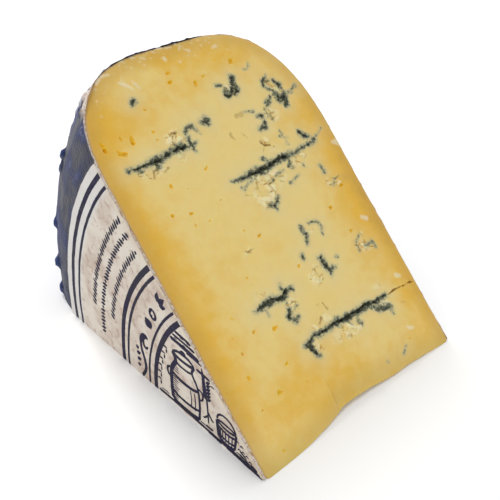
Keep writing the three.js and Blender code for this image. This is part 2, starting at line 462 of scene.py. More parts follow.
SMEARS = [  # paths
    [(19.4, 121.6, 0.4), (20.8, 120.6, 0.8), (22.2, 119.2, 0.5), (22.8, 118.2, 0.3)],
    [(23.8, 121.0, 0.3), (24.4, 119.8, 0.5), (25.2, 117.8, 0.2)],
    [(12.2, 122.9, 0.5), (13.3, 124.0, 0.9)],
    [(14.6, 124.9, 0.5), (17.0, 125.0, 0.5)],
    [(9.8, 118.0, 0.4)],
    [(30.6, 127.2, 0.4), (31.6, 126.6, 0.3)],
    [(38.2, 124.8, 0.8)],
    [(40.6, 128.2, 0.5), (42.4, 127.8, 0.4)],
    [(43.2, 122.5, 0.5)],
    [(44.8, 126.2, 0.3), (45.6, 127.2, 0.4)],
    [(47.6, 125.3, 0.5), (48.2, 124.8, 0.3)],
    [(57.4, 123.8, 0.4), (59.0, 124.4, 0.6)],
    [(19.6, 127.0, 0.3)],
    [(22.4, 126.2, 0.3)],
    [(23.2, 127.9, 0.4), (24.2, 127.6, 0.3)],
    [(25.8, 125.0, 0.3)],
    [(27.4, 128.2, 0.5), (28.6, 127.6, 0.3)],
    [(33.8, 126.0, 0.3)],
    [(35.4, 128.0, 0.3), (36.0, 127.4, 0.2)],
    [(44.6, 128.6, 0.4)],
    [(50.8, 127.2, 0.3)],
    [(53.6, 125.6, 0.3)],
    [(6.6, 119.6, 0.3)],
    [(8.6, 121.8, 0.4), (10.2, 122.6, 0.3)],
    [(62.4, 121.8, 0.3)],
    [(83.8, 79.4, 0.6), (85.2, 78.8, 1.1), (86.4, 77.6, 0.8)],
    [(79.0, 51.6, 0.8), (80.4, 50.6, 1.0)],
    [(79.6, 29.0, 1.0), (81.0, 28.4, 0.8)],
    [(73.0, 11.8, 0.7), (74.6, 11.2, 0.6)],
    [(36.6, 129.0, 0.3), (39.0, 128.6, 0.4)],
]

# %% Flecks of dried whey along the rim
RIM_FLECKS = 52
FLECK_BAND = (0.8, 5.8)  # nearest to the rim and furthest from it
FLECK_SIZES = (0.10, 0.35)
FACE_MIDDLE = np.array([42.0, 70.0])

rim_side = wheel_side[(wheel_side[:, 1] > 116) & (wheel_side[:, 0] < 62)]
for number in range(RIM_FLECKS):
    # Squaring a random share puts most flecks near the rim and makes most of them small.
    place, inwards, size = (chance(np.array([number, 0, k]), 61) * 0.5 + 0.5 for k in range(3))
    on_rim = rim_side[int(place * (len(rim_side) - 1))]
    way_in = (FACE_MIDDLE - on_rim) / np.linalg.norm(FACE_MIDDLE - on_rim)
    fleck = on_rim + way_in * np.interp(inwards**2, (0, 1), FLECK_BAND)
    SMEARS.append([(*fleck, np.interp(size**2, (0, 1), FLECK_SIZES))])
print(len(CRACKS), "cracks", len(TORN), "torn places", len(SMEARS), "smears and flecks")

# %% Eyes
EYES = [  # x, radius, half length, half width, tilt in degrees
    (36.9, 120.1, 0.9, 0.5, 10),
    (36.2, 117.0, 0.8, 0.6, 40),
    (44.4, 114.3, 1.2, 0.6, 80),
    (61.6, 118.0, 1.1, 0.9, 20),
    (55.4, 119.9, 0.4, 0.2, 0),
    (48.6, 115.7, 0.8, 0.3, 20),
    (23.0, 111.2, 0.6, 0.4, -20),
    (4.6, 104.7, 1.7, 0.5, 102),
    (4.5, 103.4, 0.8, 0.6, 60),
    (8.2, 101.4, 1.1, 0.4, 115),
    (9.6, 100.4, 1.4, 0.8, -5),
    (10.9, 105.4, 0.8, 0.4, 100),
    (13.9, 103.5, 1.4, 0.6, 80),
    (14.0, 102.7, 0.7, 0.6, 0),
    (21.8, 103.9, 0.5, 0.3, 0),
    (21.8, 101.2, 0.5, 0.2, 0),
    (18.2, 86.6, 0.8, 0.5, 60),
    (32.3, 87.8, 0.7, 0.3, 40),
    (13.8, 78.4, 0.7, 0.6, 0),
    (19.9, 76.8, 0.9, 0.5, 0),
    (19.2, 73.0, 0.8, 0.3, 70),
    (38.0, 61.9, 1.0, 0.5, 5),
    (68.8, 59.5, 0.8, 0.7, 0),
    (26.4, 52.0, 0.5, 0.3, 0),
    (45.4, 47.6, 0.7, 0.4, 30),
    (71.8, 49.4, 0.7, 0.5, 0),
    (19.4, 37.2, 0.7, 0.5, 0),
    (12.3, 33.5, 0.6, 0.5, 90),
    (26.4, 34.8, 0.9, 0.5, 10),
    (10.4, 26.6, 0.8, 0.4, 95),
    (24.2, 24.2, 0.8, 0.4, 40),
    (17.2, 18.3, 0.9, 0.5, -10),
    (9.1, 4.0, 0.4, 0.3, 60),
    (9.2, 16.8, 0.4, 0.3, 0),
    (14.8, 43.9, 0.5, 0.2, -60),
    (11.9, 38.6, 0.4, 0.2, -60),
    (78.2, 64.7, 1.0, 0.5, 10),
    (4.8, 81.2, 0.4, 0.2, 0),
    (23.0, 84.2, 0.3, 0.2, 0),
    (31.4, 77.0, 0.4, 0.3, 0),
    (24.4, 72.4, 0.4, 0.2, 0),
    (27.2, 16.4, 0.4, 0.2, 60),
    (33.6, 65.4, 0.4, 0.2, 0),
    (71.6, 8.6, 0.4, 0.3, 0),
]


# %% Distances to the listed places
def to_path(spots, path):
    """Distance from each spot to the edge of an opening, negative inside it."""
    path = np.array(path if len(path) > 1 else path * 2, dtype=float)
    nearest = np.full(len(spots), np.inf)
    for (x0, r0, half0), (x1, r1, half1) in zip(path, path[1:]):
        run = np.array([x1 - x0, r1 - r0])
        share = np.clip((spots - (x0, r0)) @ run / max(run @ run, 1e-9), 0, 1)
        gap = np.linalg.norm(spots - (x0, r0) - share[:, None] * run, axis=1)
        nearest = np.minimum(nearest, gap - half0 - share * (half1 - half0))
    return nearest


def to_torn(spots):
    """Distance from each spot to the nearest torn place, negative inside it."""
    nearest = np.full(len(spots), np.inf)
    for x, r, wide, tall in TORN:
        reach = np.linalg.norm((spots - (x, r)) / (wide, tall), axis=1)
        nearest = np.minimum(nearest, (reach - 1) * min(wide, tall))
    return nearest


# Added to a distance, so that torn crumb and smears never get the finest points
TORN_COARSENESS = 0.62
SMEAR_COARSENESS = 0.9


def openness(across, out):
    """How fine the mesh has to be at each spot: small near an opening, larger in torn crumb."""
    spots = np.stack([across, out], axis=-1)
    nearest = np.clip(to_torn(spots), 0, None) + TORN_COARSENESS
    for path, *_ in OPENINGS + CRACKS:
        nearest = np.minimum(nearest, to_path(spots, path))
    for path in SMEARS:
        nearest = np.minimum(nearest, np.clip(to_path(spots, path), 0, None) + SMEAR_COARSENESS)
    for x, r, half_length, _, _ in EYES:
        nearest = np.minimum(nearest, to_path(spots, [(x, r, half_length)]))
    return nearest


# %% [markdown]
# The relief of a cut face is the sum of what each of these lists does to a flat sheet. Each function
# gives back both the heights and the shares that the material will colour by.


# %% Mould and cracks
OPENING_INSET = 0.46  # how far inside its listed width the bare hollow starts
CRACK_INSET = 0.15
FUZZ_REACH = 0.75  # how fast the mould thins out beside a hollow
HALO_REACH = 4.5  # how far the damp pale paste goes
LIP_REACH = 1.1  # how far from an edge the torn lip stands up


def mould_relief(spots, ragged, crag):
    """Heights of the openings and their lips, and the mould, its pale halo and the painted shade in bare
    cracks as shares.
    """
    cavity, mould, halo, painted_crack_shade = np.zeros((4, len(spots)))
    nearest = np.full(len(spots), np.inf)
    for path, depth, growth in OPENINGS:
        gap = to_path(spots, path) + OPENING_INSET + ragged
        outside = np.clip(gap, 0, None)
        cavity = np.maximum(cavity, depth * (1 - soft_step(-0.9, 0.30, gap)))
        mould = np.maximum(mould, growth * np.exp(-outside / FUZZ_REACH))
        halo = np.maximum(halo, growth * np.exp(-((outside / HALO_REACH) ** 2)))
        nearest = np.minimum(nearest, gap)
    for path, depth in CRACKS:
        gap = to_path(spots, path) + CRACK_INSET + 0.6 * ragged
        cavity = np.maximum(cavity, depth * (1 - soft_step(-0.5, 0.2, gap)))
        # Bare cracks get a painted shade, strongest where they are deepest.
        painted_crack_shade = np.maximum(painted_crack_shade, min(1.0, 1.2 * depth) * (1 - soft_step(-0.25, 0.35, gap)))
        nearest = np.minimum(nearest, gap)
    lip = np.exp(-((np.clip(nearest, 0, None) / LIP_REACH) ** 2))
    height = (0.18 * crag + 0.05) * lip - cavity * (0.75 + 0.35 * crag)
    return height, {"mould": mould, "halo": halo, "painted_crack_shade": painted_crack_shade}


# %% Crumbs and smears
CRUMB_SIZE = 2.2
CRUMB_HEIGHT = 0.75  # how far a crumb stands up, and how deep its joints go
SMEAR_HEIGHT = 0.14


def torn_relief(sheet, drift, crag):
    """Heights of torn crumbs and dragged smears, and their shares."""
    edge = to_torn(sheet[:, :2] + 0.9 * drift)
    joint, chip = crumbs(sheet + 0.8 * np.pad(drift, ((0, 0), (0, 1))), CRUMB_SIZE, 17)
    loose = (1 - soft_step(-1.2, 0.3, edge)) * soft_step(-0.6, -0.4, chip)
    # The joints between crumbs are sunk, and their share also paints shade into them.
    joint_with_painted_shade = loose * (1 - soft_step(0.05, 0.5, joint)) * soft_step(-0.4, 0.3, lumps(sheet, 1.7, 27))
    height = loose * (CRUMB_HEIGHT * chip + 0.16 * crag) - CRUMB_HEIGHT * joint_with_painted_shade
    smear = np.zeros(len(sheet))
    for path in SMEARS:
        gap = to_path(sheet[:, :2] + 0.3 * drift, path)
        smear = np.maximum(smear, 1 - soft_step(-0.35, 0.3, gap))
    height += SMEAR_HEIGHT * smear * (1 + crag)
    # The torn share is the crumbs' pale colour, made stronger on the higher crumbs as painted light.
    return height, {"torn": loose * (0.6 + 0.4 * chip), "joint_with_painted_shade": joint_with_painted_shade, "smear": smear}


# %% Gas eyes
DEEPEST_EYE = 0.9


def eye_relief(sheet, drift):
    """Heights of the small eyes and how deep their painted gold is, deeper on one wall as painted shade."""
    uneven_edge = 1 + 0.45 * lumps(sheet, 0.9, 28)
    height, eye = np.zeros((2, len(sheet)))
    for x, r, half_length, half_width, tilt in EYES:
        along = math.radians(tilt)
        side = sheet[:, :2] + 0.15 * drift - (x, r)
        u = (side[:, 0] * math.cos(along) + side[:, 1] * math.sin(along)) / half_length
        v = (side[:, 1] * math.cos(along) - side[:, 0] * math.sin(along)) / half_width
        reach = np.hypot(u, v * (1 + 0.35 * u)) * uneven_edge
        height -= min(DEEPEST_EYE, 1.3 * half_width) * (1 - soft_step(0.45, 1.15, reach))
        # One wall of each eye gets the gold more fully, as painted shade.
        painted_wall_shade = np.clip(0.85 + 0.25 * (side[:, 1] - side[:, 0]), 0.5, 1)
        eye = np.maximum(eye, painted_wall_shade * (1 - soft_step(0.85, 1.35, reach)))
    return height, {"eye": eye}


# %% The whole relief
def relief(across, out):
    """Heights of a cut face in millimetres, and what the material needs to know about each point."""
    sheet = flat(across, out)
    drift = np.stack([lumps(sheet, 2.2, 11), lumps(sheet, 2.2, 12)], axis=-1)
    drift += 0.3 * np.stack([lumps(sheet, 0.8, 13), lumps(sheet, 0.8, 14)], axis=-1)
    ragged = 0.32 * lumps(sheet, 1.5, 18) + 0.24 * lumps(sheet, 0.75, 19)
    crag = rough(sheet, 1.0, 13)
    height = 0.10 * lumps(sheet, 19.0, 14) + 0.04 * lumps(sheet, 5.0, 15) + 0.025 * lumps(sheet, 2.2, 26)
    fields = {}
    for part, shares in (
        mould_relief(sheet[:, :2] + 0.35 * drift, ragged, crag),
        torn_relief(sheet, drift, crag),
        eye_relief(sheet, drift),
    ):
        height += part
        fields |= shares
    return height, fields


# %% [markdown]
# ## The cheese paste
#
# The cut faces need far more points round the mould than elsewhere. A plain grid would waste them,
# so points are laid on a lattice whose spacing halves near the openings, and Blender's Delaunay
# triangulation joins them up. The outline's points are shared with the wall between the two faces,
# so the piece closes with no seam.


# %% Points inside the outline
def to_points(spots, targets):
    """Distance from each spot to the nearest target point."""
    tree = kdtree.KDTree(len(targets))
    for number, (x, r) in enumerate(targets):
        tree.insert((x, r, 0), number)
    tree.balance()
    return np.array([tree.find((x, r, 0))[2] for x, r in spots])


def tip_at(across, outline):
    """The radius at which a cut face ends, at each place along the tip."""
    return np.interp(across, nose_x[::-1], outline[is_nose, 1][::-1])


def scatter(outline, spacing, reaches, mirrored):
    """Lattice points inside an outline; each reach halves the spacing that close to an opening."""
    kept = []
    for level, reach in enumerate((np.inf, *reaches)):
        step = spacing / 2**level
        across, out = np.meshgrid(np.arange(0, HEIGHT, step), np.arange(0, RADIUS, step))
        spots = np.stack([across.ravel(), out.ravel()], axis=-1)
        if level:
            spots = spots[(np.round(spots / step).astype(int) % 2).any(axis=1)]
        keep = spots[:, 1] > tip_at(spots[:, 0], outline)
        keep &= spots[:, 0] > fall(spots[:, 1], LABEL_SHOULDER)
        keep &= spots[:, 0] < HEIGHT - fall(spots[:, 1], FAR_SHOULDER)
        spots = spots[keep]
        seen = HEIGHT - spots[:, 0] if mirrored else spots[:, 0]
        spots = spots[openness(seen, spots[:, 1]) < reach]
        kept.append(spots[to_points(spots, outline) > 0.5 * step + 0.1])
    return np.concatenate(kept)


def joined(outline, inside):
    """Triangles over the outline's points and the points inside it."""
    count = len(outline)
    rim_edges = [(n, (n + 1) % count) for n in range(count)]
    spots = [Vector(spot) for spot in np.concatenate([outline, inside])]
    result = geometry.delaunay_2d_cdt(spots, rim_edges, [], 1, 1e-5)
    source = np.array([first[0] for first in result[3]])
    return source[np.array(result[2])]


# %% Both cut faces
DENT_DEPTH = 1.1
ROUNDED_EDGE = 0.20  # how far the cut falls away beside the rind


def cut_face(outline, spacing, reaches, mirrored=False):
    """A cut face as x and radius, heights, fields and triangles."""
    spots = np.concatenate([outline, scatter(outline, spacing, reaches, mirrored)])
    triangles = joined(outline, spots[len(outline) :])
    across, out = spots.T
    height, fields = relief(HEIGHT - across if mirrored else across, out)
    fields["rind"] = to_points(spots, outline[~is_nose])
    height -= ROUNDED_EDGE * (1 - soft_step(0, 0.9, fields["rind"]))
    # The face bends down to the worn tip, where it also has a shallow dent with one sharp side.
    tip = tip_at(across, outline)
    # The tip share paints shade on the face where it bends down towards the tip.
    fields["tip"] = 1 - soft_step(0, 9.0, out - tip)
    height -= 0.12 * tip * np.clip(1 - (out - tip) / (1.2 * tip + 0.5), 0, 1) ** 2
    dent = soft_step(33, 34, across) * (1 - soft_step(44, 62, across))
    height -= DENT_DEPTH * dent * (1 - soft_step(0, 13, out - tip))
    return spots, height, fields, triangles


# The lower face rests on the floor, so it gets wider spacing and one finer level instead of two.
upper_spots, upper_height, upper_fields, upper_faces = cut_face(
    np.stack([loop_x, upper_out], axis=-1), 0.72, (1.6, 0.62)
)
lower_spots, lower_height, lower_fields, lower_faces = cut_face(
    np.stack([loop_x, lower_out], axis=-1), 1.9, (1.2,), mirrored=True
)
print("upper face", len(upper_faces), "triangles, lower face", len(lower_faces))

# %% The wall between them
WALL_ROWS = 15
loop_size = len(loop_x)
uphill = np.array([0, -math.sin(CUT), math.cos(CUT)])
across, out = upper_spots.T
upper_points = np.stack([across, out * math.cos(CUT), out * math.sin(CUT)], axis=-1)
upper_points += upper_height[:, None] * uphill
across, out = lower_spots.T
lower_points = np.stack([across, out, np.clip(-lower_height, 0, None)], axis=-1)

# The outside is turned from one face to the other. The tip bends over between them instead, as a
# curve that is pulled towards a third point above its lower end.
upper_edge, lower_edge = upper_points[:loop_size], lower_points[:loop_size]
nose_bend = lower_edge * (1, 1, 0) + lower_edge[:, 1:2] * (0, 0, 0.5)
wall_rows = []
for row in range(1, WALL_ROWS):
    share = row / WALL_ROWS
    turned = CUT * (1 - share)
    round_wall = np.stack([loop_x, lower_out * math.cos(turned), lower_out * math.sin(turned)], axis=-1)
    nose_wall = upper_edge * (1 - share) ** 2 + lower_edge * share**2
    nose_wall += nose_bend * 2 * share * (1 - share)
    wall_rows.append(np.where(is_nose[:, None], nose_wall, round_wall))
wall_points = np.concatenate(wall_rows)
paste_points = np.concatenate([upper_points, lower_points, wall_points])

first_lower = len(upper_points)
first_wall = first_lower + len(lower_points)
ring = np.arange(loop_size)
rings = [ring] + [first_wall + n * loop_size + ring for n in range(WALL_ROWS - 1)] + [first_lower + ring]
wall_faces = np.concatenate(
    [np.stack([a, np.roll(a, -1), np.roll(b, -1), b], axis=-1) for a, b in zip(rings, rings[1:])]
)
print("wall", len(wall_faces), "faces in", WALL_ROWS, "rows")


# %% Softening the tip
def relaxed(points, triangles, quads, share, rounds):
    """Each point moves towards the middle of its neighbours by its share, several times."""
    edges = [triangles[:, [k, (k + 1) % 3]] for k in range(3)]
    edges += [quads[:, [k, (k + 1) % 4]] for k in range(4)]
    pairs = np.concatenate(edges)
    for _ in range(rounds):
        total = np.zeros_like(points)
        count = np.zeros(len(points))
        for here, there in ((0, 1), (1, 0)):
            np.add.at(total, pairs[:, here], points[pairs[:, there]])
            np.add.at(count, pairs[:, here], 1)
        points = points + share[:, None] * (total / count[:, None] - points)
    return points


paste_triangles = np.concatenate([upper_faces, lower_faces + first_lower])
from_tip = np.hypot(paste_points[:, 1], paste_points[:, 2]) - nose_setback(paste_points[:, 0])
tip_share = 0.5 * (1 - soft_step(0.8, 3.0, from_tip))
paste_points = relaxed(paste_points, paste_triangles, wall_faces, tip_share, 5)
paste_points[:, 2] = np.clip(paste_points[:, 2], 0, None)

# %% [markdown]
# The colour of the paste drifts from cream in the middle to deep butter yellow under the coating and
# along the label side, where the cheese has dried. A few broad soft patches describe that.

# %% Warm patches and the finished piece
DEEPEST_YELLOW = 1.5
WARM_PATCHES = [  # x, radius, spread across, spread out, strength
    (0, 84, 13, 34, 0.90),
    (0, 36, 12, 22, 0.70),
    (8, 112, 18, 12, 0.60),
    (28, 14, 22, 16, 0.60),
    (30, 62, 16, 20, 0.20),
    (88, 52, 16, 50, 1.20),
    (40, 114, 30, 12, 0.35),
    (60, 6, 30, 12, 0.35),
    (74, 96, 14, 16, 0.35),
    (62, 122, 20, 7, 0.55),
    (34, 126, 20, 4, 0.50),
]


def warmth(across, out):
    """How deep the yellow is, from 0 for cream to DEEPEST_YELLOW for ochre."""
    total = np.zeros(len(across))
    for x, r, wide, tall, strength in WARM_PATCHES:
        total += strength * np.exp(-(((across - x) / wide) ** 2) - ((out - r) / tall) ** 2)
    return np.clip(total + 0.10 * lumps(flat(across, out), 14, 21), 0, DEEPEST_YELLOW)


wall_fields = {name: np.zeros(len(wall_points)) for name in upper_fields}
to_side = np.minimum(wall_points[:, 0], HEIGHT - wall_points[:, 0])
# Every point of the wall between the faces gets the full painted shade of the tip.
wall_fields["tip"] += 1
wall_fields["rind"] = np.where(np.tile(is_nose, WALL_ROWS - 1), to_side, 0)
paste_fields = {
    name: np.concatenate([values, lower_fields[name], wall_fields[name]])
    for name, values in upper_fields.items()
}
paste_fields["warm"] = warmth(paste_points[:, 0], np.hypot(paste_points[:, 1], paste_points[:, 2]))
cheese_paste = build(
    "cheese_paste_detail",
    placed(*paste_points.T),
    paste_triangles.tolist() + wall_faces.tolist(),
    "cheese_paste",
    replaced="cheese_paste",
    **paste_fields,
)

# %% [markdown]
# ## Building materials from nodes
#
# A material is a small graph. Writing each one by hand takes four lines a node, so two short helpers
# make a node and plug values or other nodes into it. Effects that more than one material needs are
# node groups with named sockets, built once.


# %% Node helpers
def plug(tree, socket, value):
    """Sets a socket to a plain value, or links it from another node's output."""
    if isinstance(value, bpy.types.NodeSocket):
        tree.links.new(value, socket)
    else:
        socket.default_value = value


def add(tree, kind, inputs=None, **settings):
    """A node with its settings and its inputs."""
    node = tree.nodes.new(kind)
    for setting, value in settings.items():
        setattr(node, setting, value)
    for name, value in (inputs or {}).items():
        plug(tree, node.inputs[name], value)
    return node


def colour(red, green, blue):
    """A colour given as it looks on a screen from 0 to 255, as the linear values the shader needs."""
    share = np.array([red, green, blue]) / 255
    linear = np.where(share <= 0.04045, share / 12.92, ((share + 0.055) / 1.055) ** 2.4)
    return (*linear.tolist(), 1.0)


def blend(tree, share, first, second):
    """The colour between first and second. A mix node keeps its colours in sockets 6 and 7."""
    return add(tree, "ShaderNodeMix", {0: share, 6: first, 7: second}, data_type="RGBA").outputs[2]


def between(tree, value, low, high, start=0.0, end=1.0):
    """A value taken smoothly from the range low to high into start to end."""
    inputs = {"Value": value, "From Min": low, "From Max": high, "To Min": start, "To Max": end}
    return add(tree, "ShaderNodeMapRange", inputs, interpolation_type="SMOOTHSTEP").outputs["Result"]


def maths(tree, operation, first, second):
    """One sum on two values."""
    return add(tree, "ShaderNodeMath", {0: first, 1: second}, operation=operation).outputs[0]


def weighed(tree, first, second, weight):
    """The first value plus the second times its weight."""
    return maths(tree, "ADD", first, maths(tree, "MULTIPLY", second, weight))


def laid(tree, base, over, share, strength):
    """The base colour with another laid over it, by a share that changes over the surface."""
    return blend(tree, maths(tree, "MULTIPLY", share, strength), base, over)


def field(tree, name):
    """A number kept for each point of the mesh."""
    return add(tree, "ShaderNodeAttribute", attribute_name=name).outputs["Fac"]


def new_group(name, inputs, outputs):
    """An empty node group with float sockets, and its two end nodes."""
    group = bpy.data.node_groups.new(name, "ShaderNodeTree")
    for label, value in inputs.items():
        socket = group.interface.new_socket(label, in_out="INPUT", socket_type="NodeSocketFloat")
        socket.default_value = value
    for label in outputs:
        group.interface.new_socket(label, in_out="OUTPUT", socket_type="NodeSocketFloat")
    return group, group.nodes.new("NodeGroupInput"), group.nodes.new("NodeGroupOutput")


def use(tree, group, **values):
    """Places a node group in a material with its own values."""
    node = add(tree, "ShaderNodeGroup", node_tree=group)
    for label, value in values.items():
        node.inputs[label.replace("_", " ").capitalize()].default_value = value
    return node.outputs


def new_material(name, **constants):
    """A material whose Principled BSDF has these plain values set on its own sockets."""
    material = bpy.data.materials.new(name)
    material.use_nodes = True
    shader = material.node_tree.nodes["Principled BSDF"]
    for socket, value in constants.items():
        shader.inputs[socket.replace("_", " ")].default_value = value
    return material, material.node_tree


def dress(piece, material, tone, roughness, height, strength, depth):
    """Feeds colour, roughness and a bump's height to a material's shader, and puts it on a piece."""
    tree = material.node_tree
    surface = tree.nodes["Principled BSDF"].inputs
    tree.links.new(tone, surface["Base Color"])
    tree.links.new(roughness, surface["Roughness"])
    bump = add(tree, "ShaderNodeBump", {"Height": height, "Strength": strength, "Distance": depth})
    tree.links.new(bump.outputs["Normal"], surface["Normal"])
    piece.data.materials.append(material)
    print(material.name, "has", len(tree.nodes), "nodes")


# %% [markdown]
# ## Effects that several materials share
#
# Cheese, paper and brushed coating are all uneven at two scales: broad cloudy patches and fine
# grain. The first group gives both. The second gives long streaks, for the knife's drag on the paste
# and the brush marks in the coating.

# %% Cloudy patches and fine grain
clouds_and_grain, inside, outside = new_group(
    "clouds_and_grain",
    {"Cloud size": 0.01, "Grain size": 0.001, "Contrast": 1.0},
    ["Cloud", "Grain"],
)
here = add(clouds_and_grain, "ShaderNodeTexCoord").outputs["Object"]
for label, detail in (("Cloud", 3.0), ("Grain", 2.0)):
    frequency = maths(clouds_and_grain, "DIVIDE", 1.0, inside.outputs[f"{label} size"])
    noise = add(
        clouds_and_grain, "ShaderNodeTexNoise", {"Vector": here, "Scale": frequency, "Detail": detail}
    )
    centred = maths(clouds_and_grain, "SUBTRACT", noise.outputs["Fac"], 0.5)
    stronger = maths(clouds_and_grain, "MULTIPLY", centred, inside.outputs["Contrast"])
    level = maths(clouds_and_grain, "ADD", stronger, 0.5)
    clouds_and_grain.links.new(level, outside.inputs[label])

# %% Long streaks
streaks, inside, outside = new_group("streaks", {"Width": 0.001, "Length": 0.02, "Tilt": 0.0}, ["Streak"])
here = add(streaks, "ShaderNodeTexCoord").outputs["Object"]
tilted = add(streaks, "ShaderNodeCombineXYZ", {"Z": inside.outputs["Tilt"]}).outputs["Vector"]
swung = add(
    streaks, "ShaderNodeVectorRotate", {"Vector": here, "Rotation": tilted}, rotation_type="EULER_XYZ"
)
by_width = maths(streaks, "DIVIDE", 1.0, inside.outputs["Width"])
by_length = maths(streaks, "DIVIDE", 1.0, inside.outputs["Length"])
scales = add(streaks, "ShaderNodeCombineXYZ", {"X": by_width, "Y": by_length, "Z": by_length})
stretched = add(
    streaks,
    "ShaderNodeVectorMath",
    {0: swung.outputs["Vector"], 1: scales.outputs["Vector"]},
    operation="MULTIPLY",
)
noise = add(
    streaks, "ShaderNodeTexNoise", {"Vector": stretched.outputs["Vector"], "Scale": 1.0, "Detail": 3.0}
)
streaks.links.new(noise.outputs["Fac"], outside.inputs["Streak"])
print("groups", [group.name for group in bpy.data.node_groups])

# %% [markdown]
# ## The finish of the paste
#
# Cheese is slightly see-through: light goes in, scatters and comes out yellow, which subsurface
# scattering gives. The colour is built up in layers, from the plain paste to the deeper edges, the
# painted shade where the face bends down to the tip, the pale damp halo round the mould, the torn
# crumbs with painted light on the higher ones and painted shade in their joints and in bare cracks,
# the eyes painted gold as light and last the mould itself. Fine noise breaks up every edge, so that
# no layer ends in a smooth line.

# %% Cheese
cheese, tree = new_material(
    "cheese",
    Subsurface_Weight=0.30,
    Subsurface_Radius=(1.0, 0.55, 0.16),
    Subsurface_Scale=0.002,
    Specular_IOR_Level=0.40,
)
patches = use(tree, clouds_and_grain, cloud_size=0.012, grain_size=0.0009, contrast=1.6)
mottle = use(tree, clouds_and_grain, cloud_size=0.0042, grain_size=0.0006, contrast=1.8)
clumps = use(tree, clouds_and_grain, cloud_size=0.0012, grain_size=0.0004, contrast=2.2)
drag = use(tree, streaks, width=0.0012, length=0.03, tilt=1.35)

# The paste, deeper where it is warm and near the coating
warm = maths(tree, "ADD", field(tree, "warm"), between(tree, patches["Cloud"], 0.3, 0.8, -0.06, 0.10))
warm = maths(tree, "ADD", warm, between(tree, mottle["Cloud"], 0.2, 0.8, -0.10, 0.10))
paste = blend(tree, between(tree, warm, 0.0, 1.0), colour(243, 217, 138), colour(238, 190, 66))
paste = blend(tree, between(tree, warm, 0.9, 1.5), paste, colour(212, 164, 64))
near_rind = between(tree, field(tree, "rind"), 0.6, 7.5, 1.0, 0.0)
paste = laid(tree, paste, colour(204, 162, 76), near_rind, 0.48)
very_near = between(tree, field(tree, "rind"), 0.2, 0.9, 1.0, 0.0)
paste = laid(tree, paste, colour(206, 168, 120), very_near, 0.6)
# Painted shade where the face bends down to the tip
paste = laid(tree, paste, colour(210, 178, 88), field(tree, "tip"), 0.5)
paste = laid(tree, paste, colour(230, 217, 166), field(tree, "halo"), 0.42)

# Torn crumbs, painted lighter on the higher ones as light, painted shade in their joints, dry
# smears, painted shade in bare cracks, and eyes painted gold as light with painted shade on one wall
# Pale crumbs, painted lighter still on the higher ones as painted light
torn = maths(tree, "MULTIPLY", field(tree, "torn"), between(tree, clumps["Cloud"], 0.2, 0.7, 0.55, 1.0))
paste = laid(tree, paste, colour(248, 237, 190), torn, 0.85)
# Painted shade in the joints between crumbs
paste = laid(tree, paste, colour(204, 160, 70), field(tree, "joint_with_painted_shade"), 0.4)
paste = laid(tree, paste, colour(244, 232, 200), field(tree, "smear"), 0.6)
# Painted shade in bare cracks
paste = laid(tree, paste, colour(150, 106, 36), field(tree, "painted_crack_shade"), 0.75)
# The eyes' gold is painted light, deeper on one wall as painted shade
eye_edge = maths(tree, "ADD", field(tree, "eye"), between(tree, clumps["Cloud"], 0.2, 0.8, -0.15, 0.15))
paste = blend(tree, between(tree, eye_edge, 0.3, 0.8, 0.0, 0.9), paste, colour(246, 202, 36))

# The mould: a faint haze, pale fuzz, grey-green growth, a dark core and olive flecks in the core
mould = field(tree, "mould")
haze = between(tree, mould, 0.02, 0.45, 0.0, 0.62)
paste = blend(tree, haze, paste, colour(178, 180, 148))
clumped = weighed(tree, clumps["Cloud"], clumps["Grain"], 0.6)
patchy = between(tree, clumped, 0.3, 1.3, -0.36, 0.36)
growth = maths(tree, "ADD", mould, maths(tree, "MULTIPLY", between(tree, mould, 0.08, 0.5), patchy))
fuzz = between(tree, growth, 0.22, 0.55, 0.0, 0.85)
paste = blend(tree, fuzz, paste, colour(150, 151, 124))
paste = blend(tree, between(tree, growth, 0.50, 0.80, 0.0, 0.9), paste, colour(98, 103, 84))
core = between(tree, growth, 0.82, 1.18)
paste = laid(tree, paste, colour(40, 45, 38), core, 0.92)
olive = between(tree, mottle["Grain"], 0.62, 0.85, 0.0, 0.8)
paste = blend(tree, maths(tree, "MULTIPLY", olive, core), paste, colour(96, 86, 40))

# A dull bloom on the mould, and a skin with grain and the knife's drag in it
shine = between(tree, patches["Grain"], 0.2, 0.8, 0.34, 0.50)
dull = weighed(tree, shine, fuzz, 0.4)
grain_height = maths(tree, "MULTIPLY", clumps["Grain"], between(tree, fuzz, 0.0, 1.0, 0.35, 1.8))
skin_height = weighed(tree, grain_height, drag["Streak"], 0.9)
skin_height = maths(tree, "ADD", skin_height, mottle["Cloud"])
dress(cheese_paste, cheese, paste, dull, skin_height, strength=0.4, depth=0.28 * MM)

# %% [markdown]
# ## The floor
#
# A plain pale sheet, which is not attached to the wedge, so it isn't part of the object.

# %% Floor
floor_mesh = bpy.data.meshes.new("floor")
floor_mesh.from_pydata([(-3, -3, 0), (3, -3, 0), (3, 3, 0), (-3, 3, 0)], [], [(0, 1, 2, 3)])
floor = bpy.data.objects.new("floor", floor_mesh)
bpy.context.scene.collection.objects.link(floor)
white_sheet, _ = new_material("white_sheet", Roughness=0.9, Base_Color=(0.97, 0.97, 0.97, 1))
floor_mesh.materials.append(white_sheet)

# %% [markdown]
# ## The brushed coating
#
# Young wheels are brushed with several coats of soft plastic to stop them drying out. The brush goes
# round the wheel, so the film has long streaks and thick and thin places, with blisters and torn
# flaps where it was knocked. It is made as a thin closed skin: the wheel's section, pushed out by an
# uneven lift and turned through the wedge's angle.


# %% A thin skin over the outside
def outward(profile):
    """Unit normals of a section, pointing away from the cheese."""
    along = np.gradient(profile, axis=0)
    normal = np.stack([-along[:, 1], along[:, 0]], axis=-1)
    return normal / np.linalg.norm(normal, axis=1, keepdims=True)


